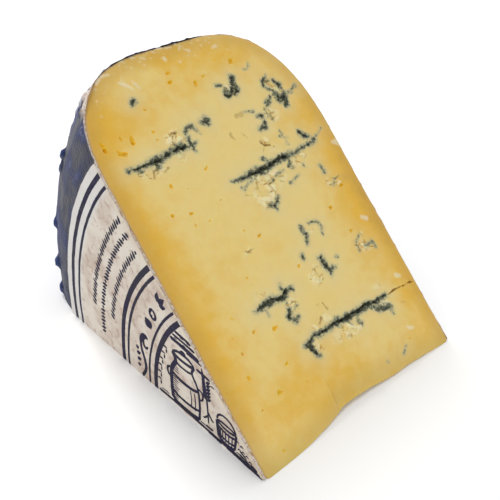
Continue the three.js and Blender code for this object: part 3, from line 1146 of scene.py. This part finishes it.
def turned_skin(profile, angles, lift):
    """Points of a section pushed out by lift and turned to each angle, as rows by columns by 3."""
    raised = profile[:, None] + outward(profile)[:, None] * lift[..., None]
    x, radius = raised[..., 0], raised[..., 1]
    return np.stack([x, radius * np.cos(angles), radius * np.sin(angles)], axis=-1)


def shell(outer, inner):
    """The points and faces of a closed sheet between two grids of points."""
    rows, columns = outer.shape[:2]
    top = np.arange(rows * columns).reshape(rows, columns)
    faces = []
    for grid in (top, top + rows * columns):
        corners = [grid[:-1, :-1], grid[1:, :-1], grid[1:, 1:], grid[:-1, 1:]]
        faces.append(np.stack(corners, axis=-1).reshape(-1, 4))
    edge = np.concatenate([top[0], top[1:, -1], top[-1, -2::-1], top[-2:0:-1, 0]])
    under = edge + rows * columns
    faces.append(np.stack([edge, np.roll(edge, -1), np.roll(under, -1), under], axis=-1))
    points = np.concatenate([outer.reshape(-1, 3), inner.reshape(-1, 3)])
    return points, np.concatenate(faces)


# %% The height of the paper, which the coating follows underneath it
PAPER_FACE = 0.92  # how far the label's face stands off the cheese
PAPER_THICKNESS = 0.22
RIM_CURL = 0.12  # how far the label's edge lifts on average
CURL_WIDTH = 5.0


def paper_lift(y, z):
    """How far the label's face stands off the cheese at each place, with its wrinkles."""
    place = flat(y, z)
    wrinkles = 0.11 * lumps(place, 12.0, 41) + 0.06 * lumps(place, 4.0, 42)
    at_rim = soft_step(LABEL_RADIUS - CURL_WIDTH, LABEL_RADIUS, np.hypot(y, z))
    return PAPER_FACE + wrinkles + RIM_CURL * at_rim * (1 + lumps(place, 6.0, 43))


# %% Knocked places
FLAPS = [  # x, degrees round the wheel, reach and height in millimetres, white share
    (9.5, 42.6, 2.6, 1.0, 1.0),
    (9.0, 40.0, 2.0, 0.8, 1.0),
    (6.2, 43.0, 1.4, 0.8, 0.0),
    (13.0, 41.6, 1.2, 0.5, 0.0),
    (6.5, 30.6, 1.9, 1.5, 0.0),
    (5.2, 28.6, 2.0, 0.7, 0.0),
    (4.4, 16.2, 1.8, 1.3, 0.0),
    (3.4, 7.6, 2.2, 1.7, 0.0),
    (3.2, 1.8, 1.8, 1.2, 0.0),
    (16, 24.0, 1.6, 0.5, 0.6),
    (52, 38.0, 2.2, 0.9, 0.0),
    (66, 24.0, 2.6, 1.1, 0.0),
    (80, 12.0, 2.4, 0.9, 0.0),
    (83, 33.0, 2.6, 0.7, 0.6),
]
print(len(FLAPS), "knocked places in the coating")

# %% The unevenness of the coating
COAT_ROW = 1.0  # spacing along the section
COAT_COLUMNS = 101
coat_profile = even(section(FIRST_RADIUS), COAT_ROW)
coat_angles = np.linspace(0, CUT, COAT_COLUMNS)
grid_shape = (len(coat_profile), len(coat_angles))
travel = np.repeat(np.arange(len(coat_profile)) * COAT_ROW, grid_shape[1])
coat_x = np.repeat(coat_profile[:, 0], grid_shape[1])
coat_radius = np.repeat(coat_profile[:, 1], grid_shape[1])
arc = coat_radius * np.tile(coat_angles, grid_shape[0])

past_label = soft_step(LABEL_RADIUS - 0.8, LABEL_RADIUS + 1.0, coat_radius)
exposed = np.where(coat_x > HEIGHT / 2, 1.0, past_label)
brushed = rough(flat(travel, arc * 0.14), 2.4, 31)
uneven = lumps(flat(travel, arc), 8.0, 32)
blisters = np.clip(rough(flat(travel, arc * 0.6), 4.5, 33) - 0.34, 0, 1)
knocked, peeled = np.zeros(len(arc)), np.zeros(len(arc))
warped = np.stack([travel, arc], axis=-1)
warped += np.stack([rough(flat(travel, arc), 1.6, 34), rough(flat(travel, arc), 1.6, 35)], axis=-1)
for x, degrees, reach, height, white in FLAPS:
    row = int(np.argmin(np.abs(coat_profile[:, 0] - x)))
    centre = (row * COAT_ROW, coat_profile[row, 1] * math.radians(degrees))
    gap = np.linalg.norm((warped - centre) / (1.0, 1.6), axis=1) / reach
    knocked = np.maximum(knocked, height * (1 - soft_step(0.45, 1.0, gap)))
    peeled = np.maximum(peeled, white * (1 - soft_step(0.6, 0.9, gap)))
print("coating grid", grid_shape, "with", int((knocked > 0).sum()), "points knocked up")

# %% [markdown]
# The knife leaves the film ragged. Over the shoulder on the label side it stands a little proud of
# the cut, and at one place, where it was folded back, it reaches further and is pale like its
# underside. Along the far side it has shrunk back from the cut and is stained with cheese.

# %% The cut edge of the coating
SMALLEST_RADIUS = 12  # nearer the axis, a millimetre counts as the angle that it is here
from_cut = coat_profile[:, 1:] * (CUT - coat_angles)
edge_share = 1 - soft_step(0, 3.0, from_cut)
edge_noise = rough(flat(travel, 0 * arc), 2.4, 36).reshape(grid_shape)[:, 0]
edge_x, edge_radius = coat_profile.T
shoulder = soft_step(1.5, 6.0, edge_x) * (1 - soft_step(44, 58, edge_x))
folded = soft_step(3.5, 6.0, edge_x) * (1 - soft_step(10, 13, edge_x))
ragged = 0.32 * edge_noise + 0.25 * shoulder - 0.45 * soft_step(50, 62, edge_x)
ragged += 0.55 * shoulder * rough(flat(edge_x, edge_radius), 1.1, 37) + folded * (0.9 + 0.8 * edge_noise)
overshoot = edge_share * (ragged / np.maximum(edge_radius, SMALLEST_RADIUS))[:, None]
last = 1 - soft_step(0.1, 1.0, from_cut)
fold = folded[:, None] * (1 - soft_step(2.0, 3.6, from_cut))
pale_edge = np.maximum(last, fold) * (1 - soft_step(11, 20, edge_x + 3 * edge_noise))[:, None]
tan_edge = last * soft_step(58, 70, edge_x + 3 * edge_noise)[:, None]
print(f"the film's edge moves by up to {np.degrees(np.abs(overshoot).max()):.2f} degrees")

# %% The finished coating
COAT_INSIDE = 0.12  # how far the film's underside stands off the cheese
THINNEST_FACE = 0.28  # and its face, where it is thinnest
USUAL_FACE = 0.42
LABEL_GAP = 0.05
rags = np.clip(rough(flat(travel, arc * 0.6), 1.5, 38), 0, 1) * (edge_share * shoulder[:, None]).ravel()
bare_lift = USUAL_FACE + 1.3 * rags + 0.24 * brushed + 0.20 * uneven + 0.9 * blisters + knocked
bare_lift = np.clip(bare_lift, THINNEST_FACE, None) * (1 - 0.35 * edge_share.ravel())
turned = np.tile(coat_angles, grid_shape[0])
paper_face = paper_lift(coat_radius * np.cos(turned), coat_radius * np.sin(turned))
under_label = paper_face - PAPER_THICKNESS - LABEL_GAP
outer_lift = (under_label + exposed * (bare_lift - under_label)).reshape(grid_shape)
coat_turns = coat_angles + overshoot
coat_points, coat_faces = shell(
    turned_skin(coat_profile, coat_turns, outer_lift),
    turned_skin(coat_profile, coat_turns, np.full(grid_shape, COAT_INSIDE)),
)
coat_points[:, 2] = np.clip(coat_points[:, 2], 0, None)
coat_fields = {
    "lifted": np.clip(0.9 * knocked + 1.2 * blisters, 0, 1) * (1 - peeled),
    "peeled": peeled,
    "brush_mark": brushed,
    "pale_edge": pale_edge.ravel(),
    "tan_edge": tan_edge.ravel(),
}
rind_coating = build(
    "rind_coating_detail",
    placed(*coat_points.T),
    coat_faces.tolist(),
    "rind_coating",
    replaced="rind_coating",
    weld=WELD,
    **{name: np.tile(values, 2) for name, values in coat_fields.items()},
)

# %% [markdown]
# The finish is dark blue plastic that has gone slightly milky. Brush marks show as lighter and darker
# streaks, knocked places are a brighter, fresher blue, and peeled ones are white. The film's cut edge
# is pale on the label side and stained with cheese on the other.

# %% Coating finish
dark_coating, tree = new_material(
    "dark_coating", Specular_IOR_Level=0.26, Subsurface_Weight=0.04, Subsurface_Scale=0.0006
)
patches = use(tree, clouds_and_grain, cloud_size=0.013, grain_size=0.0008, contrast=1.9)
bristles = use(tree, streaks, width=0.0011, length=0.028)
mark = maths(tree, "ADD", field(tree, "brush_mark"), between(tree, patches["Cloud"], 0.2, 0.8, -0.6, 0.6))
mark = maths(tree, "ADD", mark, between(tree, bristles["Streak"], 0.3, 0.7, -0.35, 0.35))
film = blend(tree, between(tree, mark, -0.75, 0.85), colour(12, 17, 44), colour(50, 58, 98))
milky = weighed(tree, bristles["Streak"], mark, 0.15)
film = blend(tree, between(tree, milky, 0.60, 0.80, 0.0, 0.4), film, colour(116, 124, 162))
scuffs = weighed(tree, patches["Grain"], mark, 0.25)
film = blend(tree, between(tree, scuffs, 0.80, 1.05, 0.0, 0.35), film, colour(164, 164, 176))
film = laid(tree, film, colour(28, 58, 120), field(tree, "lifted"), 0.75)
film = laid(tree, film, colour(216, 212, 222), field(tree, "peeled"), 0.9)
stain = between(tree, patches["Grain"], 0.35, 0.75)
stained = blend(tree, stain, colour(228, 218, 212), colour(196, 162, 124))
film = laid(tree, film, stained, field(tree, "pale_edge"), 0.9)
film = laid(tree, film, colour(204, 164, 106), field(tree, "tan_edge"), 0.9)
film_gloss = between(tree, mark, -0.8, 0.9, 0.40, 0.66)
film_height = weighed(tree, patches["Grain"], patches["Cloud"], 2.0)
film_height = maths(tree, "ADD", film_height, bristles["Streak"])
dress(rind_coating, dark_coating, film, film_gloss, film_height, strength=0.6, depth=0.25 * MM)

# %% [markdown]
# ## The paper label
#
# The label is a disc of uncoated paper, pressed into the last coat while it was wet. It follows the
# dome of the flat side, with shallow wrinkles where a flat disc had to bend two ways. Its height at
# any place comes from one function, because the printing has to lie exactly on the same wrinkles.

# %% Places on the paper
SLOPE_STEP = 0.1  # the slope of the dome is measured over this distance


def paper_point(y, z, above):
    """A point that stands above the paper at a place given from the tip, in millimetres."""
    radius = np.hypot(y, z)
    rise = fall(radius + SLOPE_STEP / 2, LABEL_SHOULDER) - fall(radius - SLOPE_STEP / 2, LABEL_SHOULDER)
    slope = rise / SLOPE_STEP
    length = np.hypot(1, slope)
    push = (paper_lift(y, z) + above) / length
    outwards = 1 + push * slope / np.maximum(radius, 0.1)
    return np.stack([fall(radius, LABEL_SHOULDER) - push, y * outwards, z * outwards], axis=-1)


# %% Paper
PAPER_ROWS = 121
PAPER_COLUMNS = 85
paper_radii = np.linspace(FIRST_RADIUS, LABEL_RADIUS, PAPER_ROWS)
radius, angle = np.meshgrid(paper_radii, np.linspace(0, CUT, PAPER_COLUMNS), indexing="ij")
# The round edge wavers a little, and the cut edge is torn in short nicks.
wavering = rough(flat(0 * radius.ravel(), 60 * angle.ravel()), 3, 45).reshape(radius.shape)
radius = radius + 0.20 * soft_step(LABEL_RADIUS - 2, LABEL_RADIUS, radius) * wavering
torn_cut = 0.32 * rough(flat(radius.ravel(), 0 * radius.ravel()), 1.3, 44).reshape(radius.shape)
angle = angle + torn_cut * soft_step(CUT - 0.02, CUT, angle) / np.maximum(radius, SMALLEST_RADIUS)
y, z = (radius * np.cos(angle)).ravel(), (radius * np.sin(angle)).ravel()
paper_points, paper_faces = shell(
    paper_point(y, z, 0.0).reshape(*radius.shape, 3),
    paper_point(y, z, -PAPER_THICKNESS).reshape(*radius.shape, 3),
)
paper_points[:, 2] = np.clip(paper_points[:, 2], 0, None)
paper_label = build(
    "paper_label_detail",
    placed(*paper_points.T),
    paper_faces.tolist(),
    "paper_label",
    replaced="paper_label",
    weld=WELD,
    from_axis=np.tile(radius.ravel(), 2),
    from_cut=np.tile((radius * np.sin(CUT - angle)).ravel(), 2),
)

# %% [markdown]
# Fat and whey have soaked into the paper, so it is cream with faint brown and pink clouds. Its outer
# band is printed white and stays paler. Short fibres give the paper its tooth.

# %% Paper finish
paper, tree = new_material("soaked_paper", Specular_IOR_Level=0.28)
stain = use(tree, clouds_and_grain, cloud_size=0.009, grain_size=0.0022, contrast=1.9)
fibre = use(tree, clouds_and_grain, cloud_size=0.0011, grain_size=0.00035, contrast=1.6)
sheet = blend(tree, between(tree, stain["Cloud"], 0.2, 0.85), colour(228, 219, 206), colour(206, 190, 176))
blotted = weighed(tree, stain["Grain"], stain["Cloud"], 0.4)
blotch = between(tree, blotted, 0.78, 1.05)
sheet = laid(tree, sheet, colour(178, 148, 130), blotch, 0.55)
sheet = blend(tree, between(tree, fibre["Cloud"], 0.55, 0.9, 0.0, 0.25), sheet, colour(236, 232, 226))
outer_band = between(tree, field(tree, "from_axis"), 91.0, 93.5)
sheet = laid(tree, sheet, colour(226, 225, 224), outer_band, 0.75)
soaked_edge = between(tree, field(tree, "from_cut"), 0.2, 2.2, 1.0, 0.0)
sheet = laid(tree, sheet, colour(228, 212, 186), soaked_edge, 0.45)
damp = between(tree, stain["Cloud"], 0.2, 0.8, 0.82, 0.62)
tooth = weighed(tree, fibre["Cloud"], stain["Grain"], 1.2)
dress(paper_label, paper, sheet, damp, tooth, strength=0.4, depth=0.15 * MM)

# %% [markdown]
# ## The printing
#
# A print could be a picture laid on the paper, but a picture has a fixed sharpness and has to come
# from somewhere. Here each line of ink is a thin ribbon of mesh, drawn with a path and a width as a
# block cutter would cut it, and laid on the paper's wrinkles. The ribbons wander a little in width,
# so that nothing looks ruled.

# %% Ink ribbons
INK_HALF = 0.05  # half the thickness of a ribbon, which is sunk half way into the paper
INK_STEP = 0.45  # spacing of a ribbon's points
KNIFE_CLEAR = 0.12  # how far the ink stops from a cut
ink_points = []
ink_faces = []


def lay_ink(left, right):
    """Adds a closed ribbon of ink between two lines of places on the paper."""
    count = len(left)
    start = sum(len(points) for points in ink_points)
    for above in (INK_HALF, -INK_HALF):
        ink_points.append(paper_point(left[:, 0], left[:, 1], above))
        ink_points.append(paper_point(right[:, 0], right[:, 1], above))
    a, b, c, d = (start + n * count + np.arange(count) for n in range(4))
    for one, two in ((a, b), (b, d), (d, c), (c, a)):
        ink_faces.extend(np.stack([one[:-1], one[1:], two[1:], two[:-1]], axis=-1).tolist())
    for end in (0, -1):
        ink_faces.append([int(a[end]), int(b[end]), int(d[end]), int(c[end])])


def rounded(path):
    """The path with its corners cut, so that it bends smoothly."""
    for _ in range(2):
        near = 0.75 * path[:-1] + 0.25 * path[1:]
        far = 0.25 * path[:-1] + 0.75 * path[1:]
        middle = np.stack([near, far], axis=1).reshape(-1, 2)
        path = np.concatenate([path[:1], middle, path[-1:]])
    return path


def stroke(path, width, taper=0.8):
    """A line of ink through places on the paper; taper is how far its ends narrow."""
    spots = even(rounded(np.array(path, dtype=float)), INK_STEP)
    # The knife cut along z = 0 and along z = y.
    spots = spots[(spots[:, 1] > KNIFE_CLEAR) & (spots[:, 1] < spots[:, 0] - 1.25 * KNIFE_CLEAR)]
    if len(spots) < 3:
        return
    along = np.gradient(spots, axis=0)
    along /= np.linalg.norm(along, axis=1, keepdims=True)
    aside = np.stack([-along[:, 1], along[:, 0]], axis=-1)
    from_end = np.minimum(np.arange(len(spots)), np.arange(len(spots))[::-1]) * INK_STEP
    half = 0.5 * width * (1 + 0.16 * lumps(flat(*spots.T), 1.6, 51))
    half *= np.clip(0.25 + 0.75 * np.sqrt(from_end / taper), 0, 1) if taper else 1
    lay_ink(spots + aside * half[:, None], spots - aside * half[:, None])


RING_POINTS = 160
RING_CLEAR = 0.0015  # radians between a ring's end and a cut


def ring_line(radius, width):
    """A printed ring, as far as the knife left it."""
    angle = np.linspace(RING_CLEAR, CUT - RING_CLEAR, RING_POINTS)
    edge = flat(radius * np.cos(angle), radius * np.sin(angle))
    direction = edge[:, :2] / radius
    wander = 0.05 * lumps(edge, 1.1, 52)[:, None]
    inner = direction * (radius - width / 2) + direction * wander
    outer = direction * (radius + width / 2) - direction * wander[::-1]
    lay_ink(outer, inner)


def leaf(y, z, length, width, degrees):
    """A pointed leaf or grain, from its foot."""
    share = np.linspace(0, 1, 12)
    way = np.array([math.cos(math.radians(degrees)), math.sin(math.radians(degrees))])
    aside = np.array([-way[1], way[0]])
    half = 0.5 * width * np.sin(math.pi * share**0.8) + 0.04
    middle = np.array([y, z]) + share[:, None] * length * way
    lay_ink(middle + half[:, None] * aside, middle - half[:, None] * aside)


def dot(y, z, size):
    """A round dot."""
    leaf(y - size / 2, z, size, size * 1.05, 0)


# %% Rings and rows of grains
for radius, width in ((97.4, 1.7), (93.6, 1.1), (67.8, 1.9), (64.8, 1.1), (53.3, 0.9), (50.0, 1.9)):
    ring_line(radius, width)

GRAIN_SPACING = 1.55
GRAINS_TO_A_DOT = 8  # every eighth place in a row has a dot instead of a grain


def grain_row(radius, first, last, lean):
    """Leaning grains in a row round the disc, from the first to the last angle in degrees."""
    count = int(math.radians(last - first) * radius / GRAIN_SPACING)
    for number, degrees in enumerate(np.linspace(first, last, count), start=1):
        turned = math.radians(degrees)
        foot = np.array([math.cos(turned), math.sin(turned)]) * radius
        if number % GRAINS_TO_A_DOT == 0:
            dot(*foot, 1.2)
            continue
        size = 1.0 + 0.22 * math.sin((number - 1) * 2.4)
        slant = turned + math.radians(lean)
        foot -= 1.2 * size * np.array([math.cos(slant), math.sin(slant)])
        leaf(*foot, 2.5 * size, 1.15, degrees + lean)


grain_row(84.0, 11.0, 43.2, 25)
grain_row(79.2, 4.0, 43.0, -25)
grain_row(73.6, 12.5, 42.6, 25)
print(len(ink_faces), "ink faces in the rings and grains")

# %% Petals, ovals and the curled border
for degrees, length in ((98, 3.9), (135, 4.4), (168, 3.4)):
    aside = math.radians(degrees)
    leaf(45.8 + math.cos(aside), 36.0 + math.sin(aside), length, 2.0, degrees)
oval = [(48.2, 32.4), (47.0, 31.0), (47.4, 29.2), (49.0, 28.8), (50.2, 30.4), (49.4, 32.2), (48.2, 32.4)]
stroke(oval, 1.1, 0)
stroke([(48.6, 29.8), (49.2, 30.2)], 0.7)
leaf(50.0, 24.2, 4.2, 3.8, 50)
stroke([(52.8, 15.2), (53.6, 13.9), (55.0, 14.6), (55.2, 17.2), (53.6, 19.0), (52.4, 18.4)], 1.1)
stroke([(52.4, 18.4), (54.2, 19.6), (56.4, 17.4), (56.6, 13.0), (55.0, 8.4), (54.8, 4.4), (57.4, 0.2)], 1.3)
for z, length in ((11.2, 1.8), (8.8, 2.5), (6.2, 2.5), (3.8, 1.8)):
    leaf(59.4, z, length, 1.5, 150)
print(len(ink_faces), "ink faces with the border")

# %% [markdown]
# ## The picture in the middle
#
# The middle of the disc holds a small dairy scene in the manner of a woodcut: a churn and a pail on
# a boarded floor, beams above them and an ear of wheat. Heavy outlines, hatched shade on one side
# and short nicks for wood grain are what make a woodcut read as one.

# %% Floor, beams and wall
stroke([(4.2, 1.1), (14, 1.3), (24, 1.0), (36, 1.3), (48.4, 1.0)], 1.1)
# Places are y and z from the tip. Short lines are given by where they start and how long they are.
for y, z, length in ((7, 2.4, 5), (24, 2.3, 4), (43, 2.3, 4), (12.5, 2.2, 2)):
    stroke([(y, z), (y + length / 2, z + 0.15), (y + length, z)], 0.45)
# Straw and planks fill the narrow corner at the tip
for y, z, length, width in (
    (0.9, 0.3, 4.4, 0.6),
    (2.0, 0.6, 5.6, 1.2),
    (3.0, 1.6, 3.2, 1.0),
    (5.4, 0.5, 7.0, 1.0),
    (6.2, 1.9, 4.6, 0.8),
    (7.4, 2.9, 3.0, 0.7),
    (11.0, 0.6, 5.4, 0.9),
    (18.2, 0.5, 6.4, 0.9),
):
    stroke([(y, z), (y + length / 2, z * 1.25), (y + length, z * 1.35)], width)
for y, z in ((5.2, 2.8), (6.6, 4.0), (8.2, 4.4), (9.8, 4.2), (8.8, 6.2), (10.6, 6.8)):
    stroke([(y, z), (y + 0.9, z + 0.5), (y + 1.4, z - 0.3)], 0.6)
beams = (
    (30.6, 30.2, 38.0, 31.2, 1.1),
    (28.9, 28.6, 39.2, 29.4, 0.9),
    (27.0, 26.6, 40.4, 27.5, 1.4),
    (26.0, 25.6, 33.0, 26.0, 0.6),
    (22.6, 22.2, 28.6, 22.8, 1.0),
    (20.8, 20.4, 22.6, 20.6, 0.6),
)
for y0, z0, y1, z1, width in beams:
    stroke([(y0, z0), ((y0 + y1) / 2, (z0 + z1) / 2 + 0.15), (y1, z1)], width)
for y, z in ((34, 30.1), (37, 28.4), (33, 28.0), (31, 29.8)):
    stroke([(y, z), (y + 0.7, z + 0.15), (y + 1.5, z)], 0.45)
for z, first in ((21.5, 42.4), (18.6, 43.6), (15.6, 44.8), (12.4, 45.6), (9.2, 46.2), (6.0, 46.6)):
    stroke([(first, z), (first + 1.0, z + 0.2), (first + 2.0, z)], 0.8)
    stroke([(first + 0.4, z - 0.4), (first + 0.5, z - 2.2)], 0.7, 0.4)

# %% Lines round a middle
def beside(middle, path, width, taper=0.8, side=1):
    """A line of ink whose places are given from a middle line; side is -1 to mirror it."""
    stroke([(middle + side * across, z) for across, z in path], width, taper)


def hoops(middle, rows):
    """Curved lines across something round, each as half width, height, sag and line width."""
    for half, z, sag, width in rows:
        beside(middle, [(-half, z), (-half / 2, z - sag), (half / 2, z - sag), (half, z)], width, 0.3)


# %% The churn
CHURN_Y = 34.6
churn_side = [(6.3, 2.4), (6.7, 8.5), (6.4, 14.2), (5.0, 17.2), (3.7, 19.0), (3.9, 20.6), (5.2, 22.4)]
churn_handle = [(6.3, 15.2), (8.3, 14.5), (8.2, 11.6), (6.6, 11.0)]
churn_hoops = (
    (6.3, 2.6, 0.7, 1.4),
    (6.6, 6.2, 1.1, 1.0),
    (6.4, 13.8, 1.1, 1.2),
    (3.7, 19.2, 0.6, 0.9),
    (5.1, 22.2, 0.8, 1.2),
    (5.1, 22.4, -1.7, 1.0),
)
beside(CHURN_Y, churn_side, 1.0, 0.4, side=-1)
beside(CHURN_Y, churn_side, 1.7, 0.4)
hoops(CHURN_Y, churn_hoops)
beside(CHURN_Y, [(-1.2, 24.2), (0, 25.3), (1.2, 24.2)], 1.2, 0.3)
# Hatching shades the right side of its belly and shoulder.
for number, z in enumerate(np.arange(3.8, 13.0, 0.95)):
    beside(CHURN_Y, [(6.2, z), (3.9 - 0.5 * (number % 3), z - 0.45)], 0.42, 1.2)
for across, z in ((5.2, 15.2), (4.5, 16.2), (3.87, 17.1)):
    beside(CHURN_Y, [(across, z), (2.6, z - 0.3)], 0.42, 1.0)
for across in (-4.4, -2.6):
    beside(CHURN_Y, [(across, 4.6), (across - 0.3, 8.6), (across, 12.0)], 0.42)
beside(CHURN_Y, churn_handle, 1.0, 0.3)
beside(CHURN_Y, churn_handle, 0.8, 0.3, side=-1)
print(len(ink_faces), "ink faces with the churn")

# %% The pail
PAIL_Y = 16.0
pail_side = [(3.4, 2.4), (4.3, 9.0)]
pail_handle = [(-4.2, 9.4), (-2.3, 12.1), (0.6, 13.0), (3.4, 12.0), (4.3, 9.4)]
pail_hoops = (
    (3.4, 2.6, 0.6, 1.2),
    (3.6, 4.3, 0.7, 0.8),
    (4.0, 7.3, 0.8, 0.9),
    (4.3, 9.0, 0.9, 0.9),
    (4.3, 9.0, -0.8, 0.8),
)
beside(PAIL_Y, pail_side, 0.9, 0.3, side=-1)
beside(PAIL_Y, pail_side, 1.4, 0.3)
hoops(PAIL_Y, pail_hoops)
for across in (-2.2, -0.9, 0.4, 1.6, 2.5):
    beside(PAIL_Y, [(across, 2.6), (across * 1.15, 7.4)], 0.45, 0.5)
beside(PAIL_Y, pail_handle, 0.8)
for across, z in ((3.1, 3.4), (3.3, 4.9), (3.5, 5.8), (3.6, 6.6)):
    beside(PAIL_Y, [(across, z), (across - 1.2, z - 0.2)], 0.4, 0.6)

# %% The ear of wheat
stroke([(26.2, 24.8), (25.0, 20.0), (24.6, 14.0), (24.0, 4.2)], 0.7)
for z in np.arange(13.4, 21.6, 1.35):
    if z < 20.5:
        leaf(24.45, z, 2.4, 1.1, 140)
    leaf(24.95, z, 2.4, 1.1, 55)
stroke([(24.2, 9.0), (22.6, 6.6), (21.6, 6.4)], 0.8)
stroke([(24.2, 7.4), (25.8, 5.4), (26.6, 5.2)], 0.7)
hoops(23.6, [(1.6, 2.9, 0.3, 0.8)])

# %% All the ink as one piece
label_print = build(
    "label_print",
    placed(*np.concatenate(ink_points).T),
    ink_faces,
    "paper_label",
)

# %% [markdown]
# Letterpress ink on rough paper is never solid. It is thin on the high fibres and misses some pits,
# so the paper shows through in specks.

# %% Ink
print_ink, tree = new_material("print_ink", Specular_IOR_Level=0.15)
worn = use(tree, clouds_and_grain, cloud_size=0.006, grain_size=0.00045, contrast=2.0)
thin = weighed(tree, worn["Grain"], worn["Cloud"], 0.35)
missed = between(tree, thin, 0.92, 1.12)
ink = blend(tree, between(tree, worn["Cloud"], 0.2, 0.8), colour(24, 21, 46), colour(36, 32, 62))
ink = laid(tree, ink, colour(150, 140, 142), missed, 0.2)
ink_gloss = between(tree, worn["Cloud"], 0.2, 0.8, 0.5, 0.7)
dress(label_print, print_ink, ink, ink_gloss, worn["Grain"], strength=0.3, depth=0.1 * MM)
